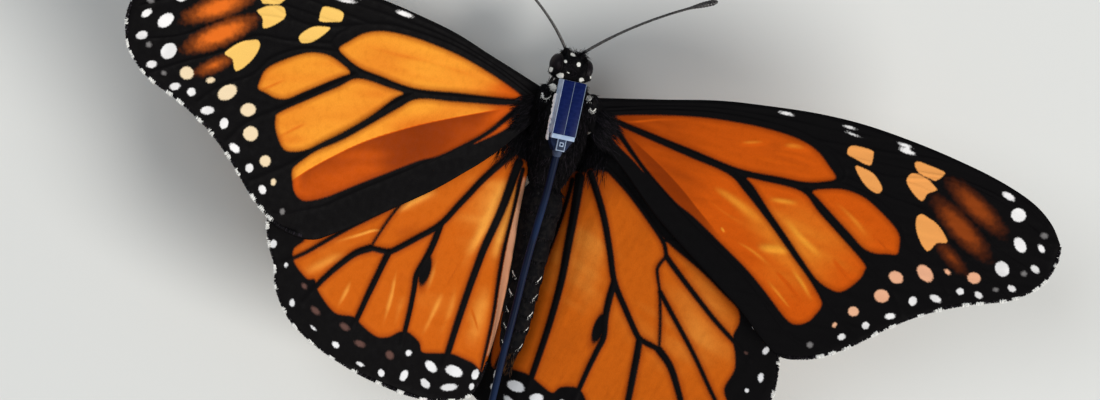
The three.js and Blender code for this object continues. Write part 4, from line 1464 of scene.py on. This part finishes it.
def build_eye(letter, side, finish_material):
    """A compound eye: a globe of many small domed facets in a narrow rim."""
    mesh = bmesh.new()
    bmesh.ops.create_icosphere(mesh, subdivisions=5, radius=1)
    domes = len(mesh.verts)
    bmesh.ops.subdivide_edges(mesh, edges=mesh.edges[:], cuts=1, use_grid_fill=True)
    points, faces = taken_from(mesh)
    points /= np.linalg.norm(points, axis=1)[:, None]
    swell = np.where(np.arange(len(points)) < domes, 1 + FACET_HEIGHT, 1)
    centre = np.array([side * EYE["x"], EYE["y"], EYE["z"]])
    globe = centre + points * swell[:, None] * (np.array(EYE["half"]) - 0.03)
    shape = Shape(rim=0).add(globe, faces)
    turn = np.linspace(0, 2 * math.pi, 49)[:-1]
    ring = np.stack([np.full(48, side * (EYE["x"] - 0.16)),
                     EYE["y"] + EYE["rim"][0] * np.cos(turn),
                     EYE["z"] + EYE["rim"][1] * np.sin(turn)], axis=1)
    ring = np.vstack([ring, ring[:1]])
    shape.add(*tube(ring, 0.06, 8, upright=(1, 0, 0), round_ends=False), rim=1)
    shape.piece(f"compound_eye_{letter}", finish_material, "eye", (f"eye_{letter}",))


def eye_material():
    made, shader = material("eye", 0.45, Specular_IOR_Level=0.1)
    space = object_space(shader)
    facets = cells(shader, space, 15000)
    colour = blend(shader, grain(shader, space, 500, 2, (1, 1, 2.5)), 0.4, 0.7,
                   (0.006, 0.004, 0.006), (0.015, 0.01, 0.012))
    colour = mix(shader, attribute(shader, "rim"), colour, (0.008, 0.006, 0.007))
    finish(shader, colour, facets, 0.012, 0.5)
    return made


def cuticle_material():
    made, shader = material("cuticle", 0.42, Specular_IOR_Level=0.5)
    space = object_space(shader)
    worn = step_up(shader, grain(shader, space, 2500, 3), 0.45, 0.75)
    colour = mix(shader, worn, (0.008, 0.007, 0.008), (0.03, 0.026, 0.024))
    colour = mix(shader, attribute(shader, "band"), colour, (0.11, 0.1, 0.095))
    finish(shader, colour, cells(shader, space, 9000, (1, 1.8, 1)), 0.015, 0.5,
           step_up(shader, worn, -0.9, 1.8))
    return made


def antenna_path(side):
    """Places along a feeler, which turns outwards and levels off."""
    steps = 60
    share = np.linspace(0, 1, steps)
    (start, end), (low, high) = ANTENNA["outward"], ANTENNA["rise"]
    heading = np.radians(start + (end - start) * share ** 0.7)
    climb = np.radians(low + (high - low) * share)
    step = np.stack([side * np.sin(heading) * np.cos(climb),
                     -np.cos(heading) * np.cos(climb), np.sin(climb)], axis=1)
    step *= ANTENNA["length"] / (steps - 1)
    base = np.array(ANTENNA["base"]) * (side, 1, 1)
    return base + np.vstack([np.zeros(3), np.cumsum(step[:-1], axis=0)])


def build_antenna(letter, side, finish_material):
    """A feeler of many short joints that swells to a club, on a round socket."""
    coarse = antenna_path(side)
    joints, per_joint = 46, 5
    share = np.linspace(0, 1, joints * per_joint + 1)
    path = along_line(share, np.linspace(0, 1, len(coarse)), coarse)
    within = (share * joints) % 1
    club = smooth(share, 0.78, 0.93) * (1 - 0.75 * smooth(share, 0.97, 1.0))
    radius = 0.165 - 0.025 * smooth(share, 0.05, 0.4) + 0.19 * club
    radius = radius * (0.93 + 0.1 * smooth(within, 0, 0.5) * (1 - smooth(within, 0.85, 1)))
    shape = Shape(band=0).add(*tube(path, radius, 12), band=np.concatenate([
        np.tile(smooth(within, 0.2, 0.05) * 0.5, 12), [0, 0]]))
    base = path[0]
    shape.add(*ball(base, (0.27, 0.27, 0.25), 10, 14))
    shape.add(*tube([base, base + (path[4] - base) * 1.1], [0.22, 0.19], 12))
    shape.piece(f"feeler_{letter}", finish_material, "cuticle", (f"antenna_{letter}",))


def build_proboscis(finish_material):
    """The tongue, coiled like a watch spring under the head."""
    share = np.linspace(0, 1, TONGUE["steps"])
    angle = -0.6 * math.pi + share * TONGUE["turns"] * 2 * math.pi
    reach = 0.76 - 0.56 * share
    path = np.stack([0.05 * np.sin(share * 7), TONGUE["y"] - reach * np.sin(angle),
                     TONGUE["z"] + reach * np.cos(angle)], axis=1)
    radius = (0.13 - 0.06 * share) * (1 + 0.06 * np.sin(share * 330))
    shape = Shape(band=0).add(*tube(path, radius, 10, upright=(1, 0, 0)))
    shape.add(*tube([path[0] + (0, 0.35, 0.75), path[0] + (0, 0.12, 0.3), path[0]],
                    [0.2, 0.17, 0.13], 10, upright=(1, 0, 0)))
    shape.piece("coiled_tongue", finish_material, "cuticle", ("proboscis",))


# ---- legs --------------------------------------------------------------------------

LEG_RADIUS = dict(ankle=0.27, toe=0.25)
WALKING_LEGS = {
    "midleg": dict(coxa=((1.1, 2.4, -3.6), (1.6, 2.6, -5.3)), knee=(6.3, 2.3, -4.1),
                   ankle=(8.4, 1.9), toe=(10.9, -0.7)),
    "hindleg": dict(coxa=((1.1, 5.4, -3.4), (1.5, 5.9, -5.2)), knee=(5.6, 9.6, -4.0),
                    ankle=(7.3, 14.6), toe=(8.7, 19.0)),
}


def limb(shape, start, end, radii):
    """A leg's piece, with a radius at equal steps from start to end."""
    share = np.linspace(0, 1, 24)[:, None]
    path = np.array(start) * (1 - share) + np.array(end) * share
    radius = np.interp(share[:, 0], np.linspace(0, 1, len(radii)), radii)
    upright = (0, 0, 1) if abs(end[2] - start[2]) < np.hypot(*(np.array(end) - start)[:2]) \
        else (0, 1, 0)
    shape.add(*tube(path, radius, 14, upright=upright))


def spines(shape, start, end, reach, count, rng, length=0.4):
    """Short stiff spines in rows along a leg's piece."""
    start, end = np.array(start), np.array(end)
    along = (end - start) / np.linalg.norm(end - start)
    for i in range(count):
        share = (i + 0.5) / count
        sideways = rng.normal(0, 1, 3)
        sideways[2] = -abs(sideways[2])
        sideways -= along * (sideways @ along)
        sideways /= np.linalg.norm(sideways)
        root = start + (end - start) * share + sideways * reach * 0.8
        tip = root + (sideways * 0.6 + along * 0.8) * length * rng.uniform(0.7, 1.1)
        upright = (0, 0, 1) if abs((tip - root)[2]) < 0.25 else (0, 1, 0)
        shape.add(*tube([root, (root + tip) / 2, tip], [0.035, 0.025, 0.008], 5,
                        upright=upright))


def build_leg(name, letter, side, plan, finish_material):
    """A walking leg: hip, femur, spined tibia, a foot of five joints and two claws."""
    rng = np.random.default_rng(80 + len(name) + side)
    flat = math.cos(math.pi / 8)
    mirror = np.array([side, 1, 1])
    top, hip = (np.array(p) * mirror for p in plan["coxa"])
    knee = np.array(plan["knee"]) * mirror
    heel = np.array([*plan["ankle"], -HINGE_HEIGHT + LEG_RADIUS["ankle"] * flat]) * mirror
    toe = np.array([*plan["toe"], -HINGE_HEIGHT + LEG_RADIUS["toe"] * flat]) * mirror
    shape = Shape(band=0)
    limb(shape, top, hip, [0.5, 0.56, 0.5, 0.34])
    limb(shape, hip, hip + (knee - hip) * 0.1, [0.3, 0.36, 0.3])
    limb(shape, hip + (knee - hip) * 0.08, knee, [0.26, 0.42, 0.4, 0.33, 0.27, 0.22])
    shape.add(*ball(knee, (0.26, 0.26, 0.26), 8, 12))
    limb(shape, knee, heel, [0.2, 0.27, 0.25, 0.23, 0.22, 0.24])
    spines(shape, knee, heel, 0.22, 22, rng)
    joints = 5
    for i in range(joints):
        near_end = heel + (toe - heel) * (i / joints)
        far_end = heel + (toe - heel) * ((i + 0.9) / joints)
        limb(shape, near_end, far_end, [0.13, 0.2, 0.21, 0.17])
        spines(shape, near_end, far_end, 0.16, 5, rng, 0.24)
    forward = (toe - heel) / np.linalg.norm(toe - heel)
    across = np.cross(forward, (0, 0, 1))
    for spread in (1, -1):
        bend = [toe, toe + forward * 0.18 + across * spread * 0.14 + (0, 0, 0.02),
                toe + forward * 0.36 + across * spread * 0.2 + (0, 0, -0.1)]
        shape.add(*tube(bend, [0.07, 0.05, 0.012], 6))
    parts = [f"{name}_{letter}_{part}" for part in ("femur", "tibia", "tarsus")]
    shape.piece(f"{name}_{letter}_whole", finish_material, "cuticle", parts)


def build_foreleg(letter, side, finish_material):
    """A small brush foreleg, folded under the thorax."""
    rng = np.random.default_rng(90 + side)
    path = curve([(side * 0.75, 1.1, -4.5), (side * 0.95, -0.1, -4.65),
                  (side * 0.95, -1.3, -4.5), (side * 0.85, -2.4, -3.95)])
    radius = np.interp(np.linspace(0, 1, len(path)), [0, 0.25, 0.5, 0.55, 0.8, 1],
                       [0.2, 0.27, 0.2, 0.22, 0.2, 0.1])
    shape = Shape(band=0).add(*tube(path, radius, 12))
    for i in range(0, len(path) - 4, 3):
        spines(shape, path[i], path[i + 3], radius[i], 4, rng, 0.45)
    shape.piece(f"brush_foreleg_{letter}", finish_material, "cuticle",
                (f"foreleg_{letter}",))


# ---- radio tag ---------------------------------------------------------------------

TAG_SEAT = (-2.4, 5.8)
TAG = dict(x=0.75, front=-2.3, length=5.8, width=2.65, bottom=1.5, height=1.25)
WHIP_PATH = [
    (0.66, 5.6, 1.85), (0.68, 6.2, 1.8), (0.8, 10, 1.7), (1.2, 16.5, 1.45), (1.35, 23, 1.2),
    (1.55, 29, 1.05), (1.65, 36.5, 0.9),
]


def prism(outline, low, high, bevel=0.05):
    """Points and faces of an upright block of that outline, with rounded edges."""
    mesh = bmesh.new()
    under, over = ([mesh.verts.new((*place, z)) for place in outline] for z in (low, high))
    mesh.faces.new(under[::-1])
    mesh.faces.new(over)
    for i in range(len(outline)):
        mesh.faces.new((under[i - 1], under[i], over[i], over[i - 1]))
    bmesh.ops.bevel(mesh, geom=mesh.edges[:], offset=bevel, segments=3, profile=0.5,
                    affect="EDGES")
    return taken_from(mesh)


def slab(centre, size, bevel=0.05):
    """Points and faces of a block with rounded edges."""
    x, y, z = centre
    wide, deep, tall = (length / 2 for length in size)
    outline = [(x - wide, y - deep), (x + wide, y - deep), (x + wide, y + deep),
               (x - wide, y + deep)]
    return prism(outline, z - tall, z + tall, bevel)


def shell_material():
    made, shader = material("tag_shell", 0.6, Specular_IOR_Level=0.1)
    scuffs = grain(shader, object_space(shader), 1500, 4)
    worn = step_up(shader, scuffs, 0.35, 0.7)
    navy = mix(shader, worn, (0.004, 0.009, 0.03), (0.012, 0.026, 0.075))
    bright = mix(shader, worn, (0.4, 0.52, 0.72), (0.6, 0.7, 0.86))
    finish(shader, mix(shader, attribute(shader, "pale"), navy, bright), scuffs, 0.03, 0.3,
           step_up(shader, scuffs, -0.6, 1.4))
    return made


def cell_material():
    made, shader = material("solar_cell", 0.45, Specular_IOR_Level=0.05, Coat_Weight=0.03,
                            Coat_Roughness=0.25)
    space = object_space(shader)
    fine = grain(shader, space, 2500, 4)
    colour = mix(shader, fine, (0.0015, 0.005, 0.04), (0.006, 0.015, 0.1))
    fingers = node(shader, "TexWave", {"Vector": space, "Scale": 700},
                   bands_direction="Y").outputs["Fac"]
    lines = maths(shader, "MULTIPLY", step_up(shader, fingers, 0.8, 1), 0.025)
    finish(shader, mix(shader, lines, colour, (0.09, 0.14, 0.3)), fine, 0.01, 0.2,
           step_up(shader, fine, -0.9, 2.5))
    return made


def glue_material():
    made, shader = material("tag_glue", 0.35, Specular_IOR_Level=0.4, Subsurface_Weight=0.1)
    milky = grain(shader, object_space(shader), 1500, 3)
    colour = blend(shader, milky, 0.35, 0.65, (0.84, 0.8, 0.83), (0.98, 0.97, 0.98))
    finish(shader, colour, milky, 0.06, 0.5)
    return made


def wire_material():
    made, shader = material("tag_wire", 0.55, Specular_IOR_Level=0.12)
    space = object_space(shader)
    worn = grain(shader, space, 900, 4, (1, 0.2, 1))
    colour = blend(shader, worn, 0.4, 0.7, (0.002, 0.007, 0.026), (0.005, 0.017, 0.056))
    finish(shader, colour, grain(shader, space, 6000), 0.01, 0.3,
           step_up(shader, worn, -0.6, 1.5))
    return made


def build_tag():
    """The tag's case with its solar cells, end bar, socket, glue and whip antenna."""
    shell = shell_material()
    x, front, length, width = TAG["x"], TAG["front"], TAG["length"], TAG["width"]
    bottom, height = TAG["bottom"], TAG["height"]
    top = bottom + height
    middle = front + length / 2
    back = front + length
    wall = 0.06

    case = Shape()
    case.add(*slab((x, middle, bottom + height / 2), (width, length, height), 0.1), pale=0.82)
    # The rail on the left is paler than the one on the right: painted light on the left side.
    for side in (1, -1):
        case.add(*slab((x + side * (width - wall) / 2, middle, top + 0.17),
                       (wall, length, 0.44), 0.02), pale=0.8 if side > 0 else 0.5)
    case.piece("tag_case", shell, "tag_shell", ("tag_body",))

    panel = Shape()
    cell_width = (width - 3 * wall) / 2
    for side in (1, -1):
        panel.add(*slab((x + side * (cell_width + wall) / 2, middle - 0.02, top + 0.25),
                        (cell_width, length - 0.04, 0.24), 0.03))
    panel.piece("tag_solar_cells", cell_material(), "tag_panel", ("tag_panel",))

    strip = Shape()
    strip.add(*slab((x, middle, top + 0.24), (wall, length - 0.1, 0.24), 0.02), pale=0.4)
    strip.piece("tag_cell_strip", shell, "tag_shell")

    end = Shape()
    end.add(*prism([(x - 1.29, back + 0.02), (x + 1.29, back + 0.02), (x + 1.25, back + 0.62),
                    (x + 0.62, back + 1.75), (x - 0.62, back + 1.75),
                    (x - 1.25, back + 0.62)], bottom, top - 0.08, 0.1), pale=0)
    end.add(*slab((x, back + 0.2, top + 0.06), (width - 0.04, 0.5, 0.5), 0.05), pale=0.85)
    end.piece("tag_end_bar", shell, "tag_shell", ("tag_cap",))

    pad = back + 0.98
    deck = top - 0.02
    socket = Shape()
    for size, rise, pale in (((0.98, 1.46), 0, 0.62), ((0.78, 1.22), 0.04, 0.05),
                             ((0.46, 0.46), 0.08, 0.8), ((0.24, 0.24), 0.12, 0)):
        socket.add(*slab((x - 0.03, pad, deck + rise), (*size, 0.24), 0.02), pale=pale)
    socket.add(*tube([(x - 0.05, back + 1.6, 1.95), (x - 0.07, back + 1.95, 1.92),
                      (x - 0.09, back + 2.3, 1.88)], [0.6, 0.52, 0.42], 20, 0.9), pale=0.08)
    socket.piece("tag_socket", shell, "tag_shell", ("tag_plug",))

    glue = Shape()
    rng = np.random.default_rng(21)
    for side in (1, -1):
        for y in rng.uniform(front + 1.6, back + 0.1, 16):
            size = rng.uniform(0.1, 0.24)
            place = (x + side * (width / 2 + 0.02), y, bottom + rng.uniform(-0.15, 0.45))
            glue.add(*ball(place, (size * 0.6, size * 1.4, size), 8, 12))
    bead = rng.uniform(0.08, 0.26, 14)
    bead_path = [(x + width / 2 + 0.06, y, bottom + 0.35)
                 for y in np.linspace(front + 1.7, front + 4.3, 14)]
    glue.add(*tube(bead_path, bead, 10))
    glue.add(*ball((x + width / 2 - 0.05, back + 0.4, bottom + 0.3), (0.24, 0.45, 0.3), 8, 12))
    glue.add(*slab((x, middle, bottom - 0.15), (width - 0.3, length - 0.4, 0.5), 0.15))
    glue.piece("tag_glue_bed", glue_material(), "tag_shell")

    path = curve(WHIP_PATH, steps=16)
    radius = np.interp(np.linspace(0, 1, len(path)), [0, 0.03, 0.06, 0.97, 1],
                       [0.42, 0.4, 0.38, 0.37, 0.33])
    Shape().add(*tube(path, radius, 16)).piece(
        "tag_whip", wire_material(), "tag_wire", ("tag_antenna",))


# ---- floor, lights and camera ------------------------------------------------------

def build_floor():
    size = 1.5
    mesh = bpy.data.meshes.new("floor")
    mesh.from_pydata([(-size, -size, 0), (size, -size, 0), (size, size, 0), (-size, size, 0)],
                     [], [(0, 1, 2, 3)])
    floor = add_object("floor", mesh)
    made, shader = material("floor_paint", 0.8)
    space = object_space(shader)
    finish(shader, mix(shader, grain(shader, space, 6), (0.7, 0.71, 0.7), (0.76, 0.77, 0.76)))
    mesh.materials.append(made)


def area_light(name, direction, distance, size, power, colour):
    """A soft light that shines on the butterfly from a direction (right, back, up)."""
    data = bpy.data.lights.new(name, "AREA")
    data.shape = "DISK"
    data.size = size
    data.energy = power
    data.color = colour
    light = add_object(name, data)
    away = Vector(direction).normalized()
    light.location = Vector(ORIGIN) + away * distance
    light.rotation_mode = "QUATERNION"
    light.rotation_quaternion = away.to_track_quat("Z", "Y")


def build_lights():
    area_light("key", (-0.64, 0.38, 0.66), 1.2, 0.65, 12.8, (1, 0.97, 0.92))
    area_light("fill", (0.6, -0.15, 0.78), 1.1, 0.6, 3.8, (0.95, 0.98, 1))
    world = bpy.data.worlds.new("studio")
    world.use_nodes = True
    background = world.node_tree.nodes["Background"]
    background.inputs["Color"].default_value = (0.9, 0.95, 1, 1)
    background.inputs["Strength"].default_value = 0.25
    bpy.context.scene.world = world


# The camera looks down over the butterfly's left side, with its head a little to the
# right of the top of the frame.
CAMERA = dict(
    off_vertical=19.15, towards_tail=1.3, roll=12.16, distance=800,
    frame_right=-1.908, frame_up=-10.358, lens=246.96,
)


def build_camera():
    lean, nod, roll = (math.radians(CAMERA[key])
                       for key in ("off_vertical", "towards_tail", "roll"))
    back = Vector((math.sin(lean) * math.cos(nod), -math.sin(nod),
                   math.cos(lean) * math.cos(nod)))
    right = Vector((0, -1, 0)).cross(back).normalized()
    up = back.cross(right)
    turned_right = right * math.cos(roll) + up * math.sin(roll)
    turned_up = up * math.cos(roll) - right * math.sin(roll)
    place = (back * CAMERA["distance"] + turned_right * CAMERA["frame_right"]
             + turned_up * CAMERA["frame_up"])
    data = bpy.data.cameras.new("camera")
    data.sensor_fit = "HORIZONTAL"
    data.sensor_width = 36
    data.lens = CAMERA["lens"]
    data.clip_start, data.clip_end = 0.05, 20
    camera = add_object("camera", data)
    pose = Matrix((turned_right, turned_up, back)).transposed().to_4x4()
    pose.translation = Vector(ORIGIN) + place * MM
    camera.matrix_world = pose
    bpy.context.scene.camera = camera


# ---- the butterfly -----------------------------------------------------------------

bpy.context.scene.view_settings.view_transform = "Standard"
build_camera()
build_lights()
build_floor()
wing_finishes = wing_materials()
hair_finish = hair_material()
cuticle = cuticle_material()
eye_finish = eye_material()
for wing_name, wing_pose in WINGS.items():
    build_wing(wing_name, wing_pose, wing_finishes[wing_pose["kind"]])
    build_fringe(wing_name, wing_pose, hair_finish)
    build_wing_root_hair(wing_name, wing_pose, hair_finish)
build_body(hair_finish)
build_proboscis(cuticle)
for side_letter, side_sign in (("l", 1), ("r", -1)):
    build_eye(side_letter, side_sign, eye_finish)
    build_antenna(side_letter, side_sign, cuticle)
    build_foreleg(side_letter, side_sign, cuticle)
    for leg_name, leg_plan in WALKING_LEGS.items():
        build_leg(leg_name, side_letter, side_sign, leg_plan, cuticle)
build_tag()
